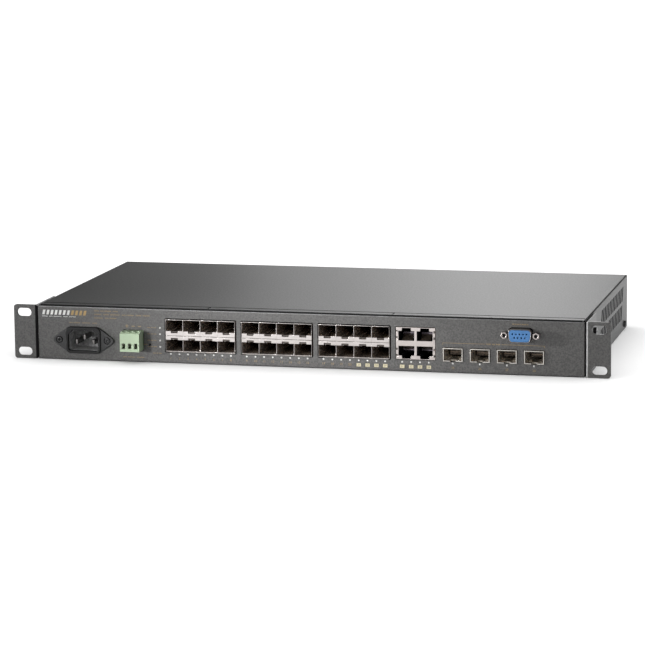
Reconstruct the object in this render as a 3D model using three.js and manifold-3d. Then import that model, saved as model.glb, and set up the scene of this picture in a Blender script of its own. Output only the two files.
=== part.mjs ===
// Rackmount network switch, one rack unit high, with rack ears, inlet, terminal block, port cages and fans.
// Units are millimetres. X runs to the right across the front, Y runs from the front to the rear, Z is up.
// Pieces are drawn with Y = 0 on the front plane; the outer group then centres the whole object on Y.
import * as THREE from 'three';
import { mergeVertices } from 'three/addons/utils/BufferGeometryUtils.js';
import Module from 'manifold-3d';

const wasm = await Module();
wasm.setup();

// ---- driving dimensions ----
const EAR_SPAN = 482.6;
const SLOT_SPACING_X = 465.1;
const SLOT_SPACING_Z = 31.75;
const BODY_WIDTH = 442.2;
const BODY_DEPTH = 233;
const BODY_HEIGHT = 44;
const SHEET = 1.2;
const GAP = 0.3;

const HALF_WIDTH = BODY_WIDTH / 2;
const COVER_INSIDE = HALF_WIDTH - SHEET;
const CHASSIS_HALF = COVER_INSIDE - GAP;
const SIDE_LIP_HEIGHT = 10;
const SIDE_LIP_CLEARANCE = 0.2;

const PANEL_THICKNESS = 1.2;
const PANEL_HALF = 221;
const PANEL_TOP = 42.6;
const WALL_FRONT = PANEL_THICKNESS + GAP;
const WALL_BACK = WALL_FRONT + SHEET;
const FLANGE_TOP = 43.8;
const FLANGE_LIP = 0.6;
const FLANGE_BACK = 12.2;
const FLANGE_NOTCHES = [-80.5, 69];
const GROOVE_BACK = 4;
const GROOVE_FLOOR = 41.4;
const RISER_BACK = GROOVE_BACK + SHEET;
const COVER_FRONT = 13.4;

const VENT_BANDS = [[11, 22.7], [25.8, 37.5]];
const VENT_REAR_BOTTOM = 199.5;
const VENT_PITCH = 8.9;
const VENT_SLOT = 5.1;
const VENT_COUNT = 14;
const VENT_LEAN = 0.42;
const BAND_SHIFT = 5.5;
const COVER_SCREW_Y = 216;
const COVER_SCREW_Z = 5;

const EAR_HEIGHT = 43.6;
const EAR_FACE_THICKNESS = 2;
const EAR_FLANGE_INSIDE = HALF_WIDTH + GAP;
const EAR_FLANGE_THICKNESS = 1.8;
const EAR_FLANGE_LENGTH = 46;
const EAR_BEND_RADIUS = 2.5;
const EAR_CORNER_RADIUS = 2;
const SLOT_LENGTH = 12;
const SLOT_WIDTH = 6.8;
const SLOT_LOW_Z = 5.7;
const EAR_SCREWS = [[35, 30], [35, 13]];

const PORT_ROW_BOTTOM = 9.6;
const PORT_ROW_TOP = 34.85;
const PORT_PITCH = 14.25;
const SFP_BLOCK_CENTRES = [-85.5, -23, 39.5];
const SFP_BLOCK_WIDTH = 57.4;
const SFP_DEPTH = 48;
const SFP_SKIN = 0.5;
const SFP_STRIP = [19, 26];
const SFP_PORTS_PER_ROW = 4;
const LATCH_NOTCH = { width: 5.2, height: 1.6, depth: 9 };

const RJ_CENTRE = 88.55;
const RJ_WIDTH = 31.1;
const RJ_DEPTH = 34;
const RJ_SKIN = 0.4;
const RJ_PORT_OFFSET = 7.3;
const RJ_PORT = { width: 11.8, height: 7.2, keyWidth: 6, keyHeight: 2, depth: 24 };
const RJ_STRIP = [19.85, 24.65];

const SFP_PLUS_CENTRES = [118.1, 139.4, 160.6, 181.9];
const SFP_PLUS = { width: 15.6, bottom: 9.05, top: 19.6 };

const LED_ROW_Z = 7.5;
const LED_RADIUS = 0.85;
const LED_PITCH = 7.08;
const LEDS_PER_BLOCK = 8;
const RJ_LEDS = [77.8, 85, 92, 99];
const STATUS_X = -119;
const STATUS_ZS = [12.8, 17.9, 23, 28.1];

const DB9_X = 171.5;
const DB9_Z = 31.8;
const DB9_JACK_OFFSET = 12.5;
const DB9_REACH = 6;

const INLET_X = -182.6;
const INLET_Z = 16.4;
const INLET_SCREW_OFFSET = 20;
const INLET_BLADES = [['line', -7, -2], ['neutral', 7, -2], ['earth', 0, 2]];

const TERMINAL_X = -141.1;
const TERMINAL_BOTTOM = 9.9;
const TERMINAL_TOP = 25.4;
const TERMINAL_WIDTH = 16;
const TERMINAL_REACH = 11;
const TERMINAL_PITCH = 5.08;
const POLE_OFFSETS = [-TERMINAL_PITCH, 0, TERMINAL_PITCH];
const WIRE_HOLE_Z = 14.4;
const CLAMP_SCREW_Y = -6.5;

const RESET_X = -127.6;
const RESET_Z = 14.3;

const BOARD_TOP = 8.9;
const BOARD_THICKNESS = 1.6;

const FAN_SIZE = 40;
const FAN_THICKNESS = 20;
const FAN_OUTER_X = -217.6;
const FAN_Z = 21.5;
const FAN_YS = [110, 162];
const FAN_BORE = 18.9;
const FAN_TIP = 18.1;
const FAN_HUB = 10.5;
const FAN_BLADES = 7;

// ---- outlines: lists of [a, b] points in the plane they are extruded from ----
function rectangle(a0, a1, b0, b1) {
  return [[a0, b0], [a1, b0], [a1, b1], [a0, b1]];
}

function centred(a, b, width, height) {
  return rectangle(a - width / 2, a + width / 2, b - height / 2, b + height / 2);
}

function arc(a, b, radius, from, to, steps) {
  const points = [];
  for (let i = 0; i <= steps; i += 1) {
    const angle = from + ((to - from) * i) / steps;
    points.push([a + radius * Math.cos(angle), b + radius * Math.sin(angle)]);
  }
  return points;
}

function circle(a, b, radius, sides) {
  const step = (2 * Math.PI) / sides;
  return arc(a, b, radius, 0, 2 * Math.PI - step, sides - 1);
}

function rounded(a, b, width, height, radius, steps = 3) {
  const da = width / 2 - radius;
  const db = height / 2 - radius;
  const quarter = Math.PI / 2;
  const corners = [[da, db], [-da, db], [-da, -db], [da, -db]];
  return corners.flatMap(([ca, cb], i) => (
    arc(a + ca, b + cb, radius, i * quarter, (i + 1) * quarter, steps)));
}

function obround(a, b, length, width, steps = 5) {
  const reach = (length - width) / 2;
  const half = Math.PI / 2;
  const right = arc(a + reach, b, width / 2, -half, half, steps);
  const left = arc(a - reach, b, width / 2, half, 3 * half, steps);
  return [...right, ...left];
}

// The D of a nine-way connector: wide at the top, with sides that lean in by ten degrees.
function dOutline(a, b, width, height, radius) {
  const lean = height * Math.tan(Math.PI / 18);
  const top = width / 2 - radius;
  const bottom = top - lean;
  const rise = height / 2 - radius;
  const half = Math.PI / 2;
  return [
    ...arc(a + top, b + rise, radius, -0.1, half, 3),
    ...arc(a - top, b + rise, radius, half, Math.PI + 0.1, 3),
    ...arc(a - bottom, b - rise, radius, Math.PI, 3 * half, 3),
    ...arc(a + bottom, b - rise, radius, 3 * half, 2 * Math.PI, 3),
  ];
}

// The mouth of a mains inlet: two cut corners on top and two small round corners below.
function inletMouth(width, height, cut) {
  const a = width / 2;
  const b = height / 2;
  const round = 1.5;
  const points = [
    [a, b - cut], [a - cut, b], [cut - a, b], [-a, b - cut],
    ...arc(round - a, round - b, round, Math.PI, 1.5 * Math.PI, 2),
    ...arc(a - round, round - b, round, 1.5 * Math.PI, 2 * Math.PI, 2),
  ];
  return points.map(([x, z]) => [x + INLET_X, z + INLET_Z]);
}

// ---- solids ----
function toSolid(geometry) {
  geometry.deleteAttribute('normal');
  geometry.deleteAttribute('uv');
  const merged = mergeVertices(geometry, 1e-5);
  const mesh = new wasm.Mesh({
    numProp: 3,
    vertProperties: new Float32Array(merged.attributes.position.array),
    triVerts: new Uint32Array(merged.index.array),
  });
  return new wasm.Manifold(mesh);
}

function extrusion(outline, length) {
  const shape = new THREE.Shape(outline.map(([a, b]) => new THREE.Vector2(a, b)));
  return new THREE.ExtrudeGeometry(shape, { depth: length, bevelEnabled: false });
}

// Cuts a hole of each outline right through a sheet that the same function extruded.
function punch(sheet, extrude, low, high, outlines) {
  const tools = outlines.map((outline) => extrude(outline, low - 1, high + 1));
  return cut(sheet, tools);
}

// Outline in (x, z), extruded from y0 to y1.
function alongY(outline, y0, y1, holes = []) {
  const geometry = extrusion(outline, y1 - y0);
  geometry.rotateX(Math.PI / 2);
  geometry.translate(0, y1, 0);
  return punch(toSolid(geometry), alongY, y0, y1, holes);
}

// Outline in (y, z), extruded from x0 to x1.
function alongX(outline, x0, x1, holes = []) {
  const geometry = extrusion(outline, x1 - x0);
  const turn = new THREE.Matrix4().makeBasis(
    new THREE.Vector3(0, 1, 0), new THREE.Vector3(0, 0, 1), new THREE.Vector3(1, 0, 0));
  geometry.applyMatrix4(turn);
  geometry.translate(x0, 0, 0);
  return punch(toSolid(geometry), alongX, x0, x1, holes);
}

// Outline in (x, y), extruded from z0 to z1.
function alongZ(outline, z0, z1) {
  const geometry = extrusion(outline, z1 - z0);
  geometry.translate(0, 0, z0);
  return toSolid(geometry);
}

function box(x0, x1, y0, y1, z0, z1) {
  return alongZ(rectangle(x0, x1, y0, y1), z0, z1);
}

function join(solids) {
  return solids.reduce((sum, solid) => sum.add(solid));
}

function cut(solid, tools) {
  return tools.length ? solid.subtract(join(tools)) : solid;
}

// ---- the assembly ----
const assembly = new THREE.Group();
const unit = new THREE.Group();
unit.position.y = -(BODY_DEPTH - TERMINAL_REACH) / 2;
assembly.add(unit);

function finish(color, roughness, metalness) {
  return { color, roughness, metalness };
}

const POWDER_GREY = finish(0x6f706f, 0.62, 0.1);
const PANEL_GREY = finish(0x5c5d5c, 0.6, 0.1);
const NICKEL = finish(0xcfcac2, 0.32, 0.9);
const STEEL = finish(0xb9b9b6, 0.35, 0.9);
const BLACK_PLASTIC = finish(0x1a1a1b, 0.5, 0);
const GREEN_PLASTIC = finish(0x7fb57a, 0.5, 0);
const BLUE_PLASTIC = finish(0x2f7fc0, 0.5, 0);
const CLEAR_PLASTIC = finish(0xd8d8d2, 0.3, 0);
const BOARD_GREEN = finish(0x1f5a3a, 0.55, 0);
const ALUMINIUM = finish(0xaeb0b2, 0.4, 0.9);
const WINDING_YELLOW = finish(0xb08a2e, 0.6, 0);

function addPiece(name, solid, look) {
  const mesh = solid.getMesh();
  const geometry = new THREE.BufferGeometry();
  geometry.setAttribute('position', new THREE.BufferAttribute(new Float32Array(mesh.vertProperties), 3));
  geometry.setIndex(new THREE.BufferAttribute(new Uint32Array(mesh.triVerts), 1));
  geometry.computeVertexNormals();
  const piece = new THREE.Mesh(geometry, new THREE.MeshStandardMaterial(look));
  piece.name = name;
  unit.add(piece);
}

// ---- sheet metal ----
function blockLeds(centre) {
  const first = centre - (LED_PITCH * (LEDS_PER_BLOCK - 1)) / 2;
  return Array.from({ length: LEDS_PER_BLOCK }, (unused, i) => first + i * LED_PITCH);
}

const LED_GROUPS = [
  ...SFP_BLOCK_CENTRES.map((centre, i) => [`sfp_${i + 1}`, blockLeds(centre)]),
  ['rj45', RJ_LEDS],
  ['sfp_plus', SFP_PLUS_CENTRES],
];
const PORT_MIDDLE = (PORT_ROW_BOTTOM + PORT_ROW_TOP) / 2;
const PORT_HEIGHT = PORT_ROW_TOP - PORT_ROW_BOTTOM;
const TERMINAL_MIDDLE = (TERMINAL_BOTTOM + TERMINAL_TOP) / 2;
const SFP_PLUS_MIDDLE = (SFP_PLUS.bottom + SFP_PLUS.top) / 2;

function addFrontPanel() {
  const holes = [
    centred(INLET_X, INLET_Z, 28.4, 20.6),
    centred(TERMINAL_X, TERMINAL_MIDDLE, 17, 16.5),
    circle(RESET_X, RESET_Z, 0.9, 10),
    centred(RJ_CENTRE, PORT_MIDDLE, RJ_WIDTH + 1, PORT_HEIGHT + 1),
    dOutline(DB9_X, DB9_Z, 19.6, 11.6, 2.6),
  ];
  for (const side of [-1, 1]) {
    holes.push(circle(INLET_X + side * INLET_SCREW_OFFSET, INLET_Z, 1.8, 12));
    holes.push(circle(DB9_X + side * DB9_JACK_OFFSET, DB9_Z, 1.8, 12));
  }
  for (const centre of SFP_BLOCK_CENTRES) {
    holes.push(centred(centre, PORT_MIDDLE, SFP_BLOCK_WIDTH + 1, PORT_HEIGHT + 1));
  }
  for (const centre of SFP_PLUS_CENTRES) {
    holes.push(centred(centre, SFP_PLUS_MIDDLE, SFP_PLUS.width + 0.8, SFP_PLUS.top - SFP_PLUS.bottom + 0.8));
  }
  for (const z of STATUS_ZS) {
    holes.push(circle(STATUS_X, z, LED_RADIUS + 0.1, 8));
  }
  for (const [, xs] of LED_GROUPS) {
    holes.push(...xs.map((x) => circle(x, LED_ROW_Z, LED_RADIUS + 0.1, 8)));
  }
  addPiece('front_panel', alongY(rectangle(-PANEL_HALF, PANEL_HALF, GAP, PANEL_TOP), 0, PANEL_THICKNESS, holes),
    PANEL_GREY);
}

// Pan, front wall with its return flange, rear wall, low side lips and the boards' standoffs.
const STANDOFFS = [
  [-186, 42], [-132, 42], [-186, 192], [-132, 192],
  [-110, 60], [205, 60], [-110, 180], [205, 180], [50, 120],
];

function addChassis() {
  const openings = [
    centred(INLET_X, INLET_Z, 30, 22),
    centred(TERMINAL_X, TERMINAL_MIDDLE, 18, 17.5),
    circle(RESET_X, RESET_Z, 1.7, 10),
    rectangle(STATUS_X - 1.8, STATUS_X + 1.8, 11, 30),
    rectangle(RJ_CENTRE - 16.3, RJ_CENTRE + 16.3, 6.2, 35.8),
    rectangle(SFP_PLUS_CENTRES[0] - 8.8, SFP_PLUS_CENTRES[3] + 8.8, 6.2, 20.4),
    centred(DB9_X, DB9_Z, 31.5, 13.2),
  ];
  for (const side of [-1, 1]) {
    openings.push(circle(INLET_X + side * INLET_SCREW_OFFSET, INLET_Z, 2, 10));
  }
  for (const centre of SFP_BLOCK_CENTRES) {
    openings.push(rectangle(centre - 29.9, centre + 29.9, 6.2, 35.8));
  }
  const lip = CHASSIS_HALF - SIDE_LIP_CLEARANCE;
  const wall = alongY(rectangle(-CHASSIS_HALF, CHASSIS_HALF, 0, GROOVE_FLOOR), WALL_FRONT, WALL_BACK, openings);
  const flange = alongX([
    [WALL_FRONT, GROOVE_FLOOR - SHEET], [RISER_BACK, GROOVE_FLOOR - SHEET], [RISER_BACK, FLANGE_TOP - SHEET],
    [FLANGE_BACK, FLANGE_TOP - SHEET], [FLANGE_BACK, FLANGE_TOP], [WALL_FRONT, FLANGE_TOP],
    [WALL_FRONT, FLANGE_TOP - FLANGE_LIP], [GROOVE_BACK, FLANGE_TOP - FLANGE_LIP],
    [GROOVE_BACK, GROOVE_FLOOR], [WALL_FRONT, GROOVE_FLOOR],
  ], -CHASSIS_HALF, CHASSIS_HALF);
  const notches = FLANGE_NOTCHES.map((x) => box(x - 0.6, x + 0.6, RISER_BACK, FLANGE_BACK + 1, 42, 45));
  const floor = box(-CHASSIS_HALF, CHASSIS_HALF, WALL_FRONT, BODY_DEPTH, 0, SHEET);
  const rear = box(-CHASSIS_HALF, CHASSIS_HALF, BODY_DEPTH - SHEET, BODY_DEPTH, 0, PANEL_TOP);
  const lips = [-1, 1].map((side) => {
    const [x0, x1] = [side * (lip - SHEET), side * lip].sort((p, q) => p - q);
    const hole = alongX(circle(COVER_SCREW_Y, COVER_SCREW_Z, 1.8, 10), x0 - 1, x1 + 1);
    return box(x0, x1, WALL_FRONT, BODY_DEPTH, 0, SIDE_LIP_HEIGHT).subtract(hole);
  });
  const posts = STANDOFFS.map(([x, y]) => alongZ(circle(x, y, 3, 10), 0, BOARD_TOP - BOARD_THICKNESS));
  addPiece('chassis_base', join([wall, cut(flange, notches), floor, rear, ...lips, ...posts]), STEEL);
}

// Slanted vent slots in two bands; the slots lean back towards the top.
function ventSlots() {
  const slots = [];
  VENT_BANDS.forEach(([low, high], band) => {
    const rearEdge = VENT_REAR_BOTTOM + band * BAND_SHIFT;
    const lean = (high - low) * VENT_LEAN;
    for (let i = 0; i < VENT_COUNT; i += 1) {
      const y1 = rearEdge - i * VENT_PITCH;
      const y0 = y1 - VENT_SLOT;
      slots.push([[y0, low], [y1, low], [y1 + lean, high], [y0 + lean, high]]);
    }
  });
  return slots;
}

function addCover() {
  const side = rectangle(WALL_BACK + GAP, BODY_DEPTH, 0.4, BODY_HEIGHT);
  const holes = [
    ...ventSlots(),
    circle(COVER_SCREW_Y, COVER_SCREW_Z, 1.8, 10),
    ...EAR_SCREWS.map(([y, z]) => circle(y, z, 2.2, 10)),
  ];
  const right = alongX(side, COVER_INSIDE, HALF_WIDTH, holes);
  const left = alongX(side, -HALF_WIDTH, -COVER_INSIDE, holes);
  const top = box(-HALF_WIDTH, HALF_WIDTH, COVER_FRONT, BODY_DEPTH, BODY_HEIGHT - SHEET, BODY_HEIGHT);
  addPiece('top_cover', join([top, right, left]), POWDER_GREY);
}

// An L of bent sheet: the face carries two rack slots and the flange is screwed to the body's side.
function earSolid() {
  const inside = EAR_FLANGE_INSIDE;
  const outside = inside + EAR_FLANGE_THICKNESS;
  const bend = inside + EAR_BEND_RADIUS;
  const edge = EAR_SPAN / 2;
  const inner = 0.7;
  const profile = [
    [edge, 0], [edge, EAR_FACE_THICKNESS],
    ...arc(outside + inner, EAR_FACE_THICKNESS + inner, inner, 1.5 * Math.PI, Math.PI, 2),
    [outside, EAR_FLANGE_LENGTH], [inside, EAR_FLANGE_LENGTH],
    ...arc(bend, EAR_BEND_RADIUS, EAR_BEND_RADIUS, Math.PI, 1.5 * Math.PI, 4),
  ];
  const sheet = alongZ(profile, 0, EAR_HEIGHT);
  const middle = inside + (edge - inside) / 2;
  const outline = rounded(middle, EAR_HEIGHT / 2, edge - inside, EAR_HEIGHT, EAR_CORNER_RADIUS);
  const slots = [0, SLOT_SPACING_Z].map((rise) => (
    alongY(obround(SLOT_SPACING_X / 2, SLOT_LOW_Z + rise, SLOT_LENGTH, SLOT_WIDTH), -1, EAR_FACE_THICKNESS + 1)));
  const screwHoles = EAR_SCREWS.map(([y, z]) => alongX(circle(y, z, 2.2, 12), inside - 1, outside + 1));
  return cut(sheet.intersect(alongY(outline, -1, EAR_FLANGE_LENGTH + 1)), [...slots, ...screwHoles]);
}

// A pan-head screw that lies along +X with its head outwards and a cross recess.
function sideScrew(y, z, seat, headRadius, shankRadius, shankLength) {
  const headHeight = headRadius * 0.5;
  const head = alongX(circle(y, z, headRadius, 14), seat, seat + headHeight);
  const crown = alongX(circle(y, z, headRadius * 0.78, 14), seat + headHeight, seat + headHeight * 1.3);
  const shank = alongX(circle(y, z, shankRadius, 10), seat - shankLength, seat);
  const top = seat + headHeight * 1.3;
  const arm = headRadius * 1.1;
  const slot = headRadius * 0.24;
  const cross = [centred(y, z, arm, slot), centred(y, z, slot, arm)].map((outline) => (
    alongX(outline, seat + headHeight * 0.3, top + 1)));
  return cut(join([head, crown, shank]), cross);
}

// The same piece on both sides of the body, mirrored across X = 0.
function addBothSides(name, solid, look, suffix = '') {
  addPiece(`${name}_right${suffix}`, solid, look);
  addPiece(`${name}_left${suffix}`, solid.mirror([1, 0, 0]), look);
}

function addEarsAndScrews() {
  addBothSides('rack_ear', earSolid(), PANEL_GREY);
  const earOutside = EAR_FLANGE_INSIDE + EAR_FLANGE_THICKNESS;
  EAR_SCREWS.forEach(([y, z], i) => {
    addBothSides('ear_screw', sideScrew(y, z, earOutside, 3.4, 1.9, 5), STEEL, `_${i + 1}`);
  });
  addBothSides('cover_screw', sideScrew(COVER_SCREW_Y, COVER_SCREW_Z, HALF_WIDTH, 2.8, 1.5, 4), STEEL);
}

// ---- mains inlet ----
const INLET = { rimWidth: 29.6, rimHeight: 22, rimReach: 3, flangeReach: 1.8, back: 20, floor: 17 };

function addInlet() {
  const flange = [
    ...arc(INLET_X + 22.6, INLET_Z, 2.6, -1, 1, 4),
    [INLET_X + 13, INLET_Z + 10.6], [INLET_X - 13, INLET_Z + 10.6],
    ...arc(INLET_X - 22.6, INLET_Z, 2.6, Math.PI - 1, Math.PI + 1, 4),
    [INLET_X - 13, INLET_Z - 10.6], [INLET_X + 13, INLET_Z - 10.6],
  ];
  const plate = alongY(flange, -INLET.flangeReach, 0);
  const rim = alongY(rounded(INLET_X, INLET_Z, INLET.rimWidth, INLET.rimHeight, 2.4), -INLET.rimReach, 0);
  const body = alongY(rounded(INLET_X, INLET_Z, 27.6, 19.8, 2), -1, INLET.back);
  const cavity = alongY(inletMouth(24.5, 16.4, 4), -INLET.rimReach - 1, INLET.floor);
  const holes = INLET_BLADES.map(([, dx, dz]) => (
    alongY(centred(INLET_X + dx, INLET_Z + dz, 2.6, 4.6), INLET.floor - 1, INLET.back + 1)));
  for (const side of [-1, 1]) {
    const x = INLET_X + side * INLET_SCREW_OFFSET;
    holes.push(alongY(circle(x, INLET_Z, 1.8, 12), -4, 1));
  }
  addPiece('inlet_housing', cut(join([plate, rim, body]), [cavity, ...holes]), BLACK_PLASTIC);
  for (const [name, dx, dz] of INLET_BLADES) {
    const start = name === 'earth' ? 1.5 : 2.5;
    const blade = alongY(centred(INLET_X + dx, INLET_Z + dz, 2, 4), start, INLET.back + 7);
    addPiece(`inlet_blade_${name}`, blade, NICKEL);
  }
  for (const side of [-1, 1]) {
    const x = INLET_X + side * INLET_SCREW_OFFSET;
    const seat = -INLET.flangeReach;
    const head = alongY(circle(x, INLET_Z, 2.7, 14), seat - 1.5, seat);
    const shank = alongY(circle(x, INLET_Z, 1.45, 10), seat, 6);
    const cross = [centred(x, INLET_Z, 3.2, 0.7), centred(x, INLET_Z, 0.7, 3.2)];
    const recess = cross.map((outline) => alongY(outline, seat - 2, seat - 0.6));
    addPiece(`inlet_screw_${side < 0 ? 'left' : 'right'}`, cut(join([head, shank]), recess), STEEL);
  }
}

// ---- three-pole plug-in terminal block: a header on the chassis and a plug that pulls out of it ----
const CLAMP = { width: 3.9, depth: 4.6, low: 11, high: 18.8, windowLow: 12.1, windowHigh: 16.7 };

function addTerminalBlock() {
  const left = TERMINAL_X - TERMINAL_WIDTH / 2;
  const right = TERMINAL_X + TERMINAL_WIDTH / 2;
  const headerFront = WALL_BACK + GAP;
  const headerBack = 15;
  const headerShell = box(left, right, headerFront, headerBack, 9.6, 25);
  const headerCavity = box(left + 1, right - 1, headerFront - 1, headerBack - 2, 10.8, 23.8);
  addPiece('terminal_header', headerShell.subtract(headerCavity), GREEN_PLASTIC);

  const block = box(left, right, -TERMINAL_REACH, 0, TERMINAL_BOTTOM, TERMINAL_TOP);
  const chamfer = alongX([[-TERMINAL_REACH - 1, 27], [-TERMINAL_REACH - 1, 22.4], [-TERMINAL_REACH + 4, 27]],
    left - 1, right + 1);
  const nose = box(left + 1.5, right - 1.5, -0.5, 9, 11.4, 23.2);
  const cuts = [chamfer];
  for (const offset of POLE_OFFSETS) {
    const x = TERMINAL_X + offset;
    cuts.push(alongY(centred(x, WIRE_HOLE_Z, 2.9, 4.4), -TERMINAL_REACH - 1, 1));
    cuts.push(box(x - 2.1, x + 2.1, CLAMP_SCREW_Y - 2.7, CLAMP_SCREW_Y + 2.7, 10.7, 20.8));
    cuts.push(alongZ(circle(x, CLAMP_SCREW_Y, 2.05, 12), 20, TERMINAL_TOP + 1));
    cuts.push(box(x - 1.2, x + 1.2, 3, 10, 16, 19));
  }
  addPiece('terminal_plug', cut(join([block, nose]), cuts), GREEN_PLASTIC);

  POLE_OFFSETS.forEach((offset, i) => {
    const x = TERMINAL_X + offset;
    const head = alongZ(circle(x, CLAMP_SCREW_Y, 1.8, 12), 21, 23);
    const shank = alongZ(circle(x, CLAMP_SCREW_Y, 1.25, 10), 17.2, 21);
    const slot = box(x - 1.9, x + 1.9, CLAMP_SCREW_Y - 0.3, CLAMP_SCREW_Y + 0.3, 22.2, 24);
    addPiece(`clamp_screw_${i + 1}`, join([head, shank]).subtract(slot), STEEL);
    const halfWidth = CLAMP.width / 2;
    const halfDepth = CLAMP.depth / 2;
    const cage = box(x - halfWidth, x + halfWidth, CLAMP_SCREW_Y - halfDepth, CLAMP_SCREW_Y + halfDepth,
      CLAMP.low, CLAMP.high);
    const window = alongY(centred(x, (CLAMP.windowLow + CLAMP.windowHigh) / 2, 2.9,
      CLAMP.windowHigh - CLAMP.windowLow), -TERMINAL_REACH, 0);
    const bore = alongZ(circle(x, CLAMP_SCREW_Y, 1.45, 10), CLAMP.windowHigh - 1, CLAMP.high + 1);
    addPiece(`wire_clamp_${i + 1}`, cut(cage, [window, bore]), NICKEL);
  });
}

// ---- reset switch behind its pinhole ----
function addResetSwitch() {
  const body = box(RESET_X - 3, RESET_X + 3, 9, 15, BOARD_TOP, 17.6);
  const well = alongY(circle(RESET_X, RESET_Z, 1.8, 12), 8, 12);
  addPiece('reset_switch', body.subtract(well), BLACK_PLASTIC);
  const stem = alongY(circle(RESET_X, RESET_Z, 1.4, 12), 4, 11);
  addPiece('reset_button', stem, BLACK_PLASTIC);
}

// ---- port cages ----
// A stacked cage: one folded skin outside, and one comb inside that parts it into two rows of ports.
function addSfpBlock(centre, number) {
  const half = SFP_BLOCK_WIDTH / 2;
  const bottom = PORT_ROW_BOTTOM;
  const top = PORT_ROW_TOP;
  const back = SFP_DEPTH;
  const shell = box(centre - half, centre + half, 0, back, bottom, top);
  const inside = half - SFP_SKIN;
  const room = box(centre - inside, centre + inside, -1, back - 0.8, bottom + SFP_SKIN, top - SFP_SKIN);
  addPiece(`sfp_cage_${number}`, shell.subtract(room), NICKEL);

  const clear = 0.05;
  const [stripLow, stripHigh] = SFP_STRIP;
  const combBack = back - 1;
  const parts = [box(centre - inside + clear, centre + inside - clear, 0.2, combBack, stripLow, stripHigh)];
  const low = bottom + SFP_SKIN + clear;
  const high = top - SFP_SKIN - clear;
  for (let i = 1; i < SFP_PORTS_PER_ROW; i += 1) {
    const x = centre + (i - SFP_PORTS_PER_ROW / 2) * PORT_PITCH;
    parts.push(box(x - 0.35, x + 0.35, 0.2, combBack, low, high));
  }
  const notches = [];
  for (let i = 0; i < SFP_PORTS_PER_ROW; i += 1) {
    const x = centre + (i - (SFP_PORTS_PER_ROW - 1) / 2) * PORT_PITCH;
    const reach = LATCH_NOTCH.width / 2;
    notches.push(box(x - reach, x + reach, -1, LATCH_NOTCH.depth, stripLow - 1, stripLow + LATCH_NOTCH.height));
    notches.push(box(x - reach, x + reach, -1, LATCH_NOTCH.depth, stripHigh - LATCH_NOTCH.height, stripHigh + 1));
  }
  addPiece(`sfp_divider_${number}`, cut(join(parts), notches), NICKEL);
}

function addRj45Block() {
  const half = RJ_WIDTH / 2;
  const shell = box(RJ_CENTRE - half, RJ_CENTRE + half, 0, RJ_DEPTH, PORT_ROW_BOTTOM, PORT_ROW_TOP);
  const inside = half - RJ_SKIN;
  const room = box(RJ_CENTRE - inside, RJ_CENTRE + inside, -1, RJ_DEPTH - 0.8,
    PORT_ROW_BOTTOM + RJ_SKIN, PORT_ROW_TOP - RJ_SKIN);
  addPiece('rj45_shield', shell.subtract(room), NICKEL);

  const clear = 0.05;
  const core = box(RJ_CENTRE - inside + clear, RJ_CENTRE + inside - clear, 0.3, RJ_DEPTH - 1,
    PORT_ROW_BOTTOM + RJ_SKIN + clear, PORT_ROW_TOP - RJ_SKIN - clear);
  const ports = [];
  for (const column of [-1, 1]) {
    for (const row of [-1, 1]) {
      const x = RJ_CENTRE + column * RJ_PORT_OFFSET;
      const near = row < 0 ? RJ_STRIP[0] : RJ_STRIP[1];
      const far = near + row * RJ_PORT.height;
      const key = far + row * RJ_PORT.keyHeight;
      const span = (p, q) => [Math.min(p, q), Math.max(p, q)];
      const halfPort = RJ_PORT.width / 2;
      const halfKey = RJ_PORT.keyWidth / 2;
      ports.push(box(x - halfPort, x + halfPort, -1, RJ_PORT.depth, ...span(near, far)));
      ports.push(box(x - halfKey, x + halfKey, -1, RJ_PORT.depth, ...span(near, key)));
    }
  }
  addPiece('rj45_core', cut(core, ports), BLACK_PLASTIC);
}

function addSfpPlusCages() {
  SFP_PLUS_CENTRES.forEach((centre, i) => {
    const half = SFP_PLUS.width / 2;
    const shell = box(centre - half, centre + half, 0, SFP_DEPTH, SFP_PLUS.bottom, SFP_PLUS.top);
    const inside = half - SFP_SKIN;
    const room = box(centre - inside, centre + inside, -1, SFP_DEPTH - 0.8,
      SFP_PLUS.bottom + SFP_SKIN, SFP_PLUS.top - SFP_SKIN);
    const latch = box(centre - 2.6, centre + 2.6, -1, 6, SFP_PLUS.bottom - 1, SFP_PLUS.bottom + 1);
    addPiece(`sfp_plus_cage_${i + 1}`, cut(shell, [room, latch]), NICKEL);
  });
}

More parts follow.
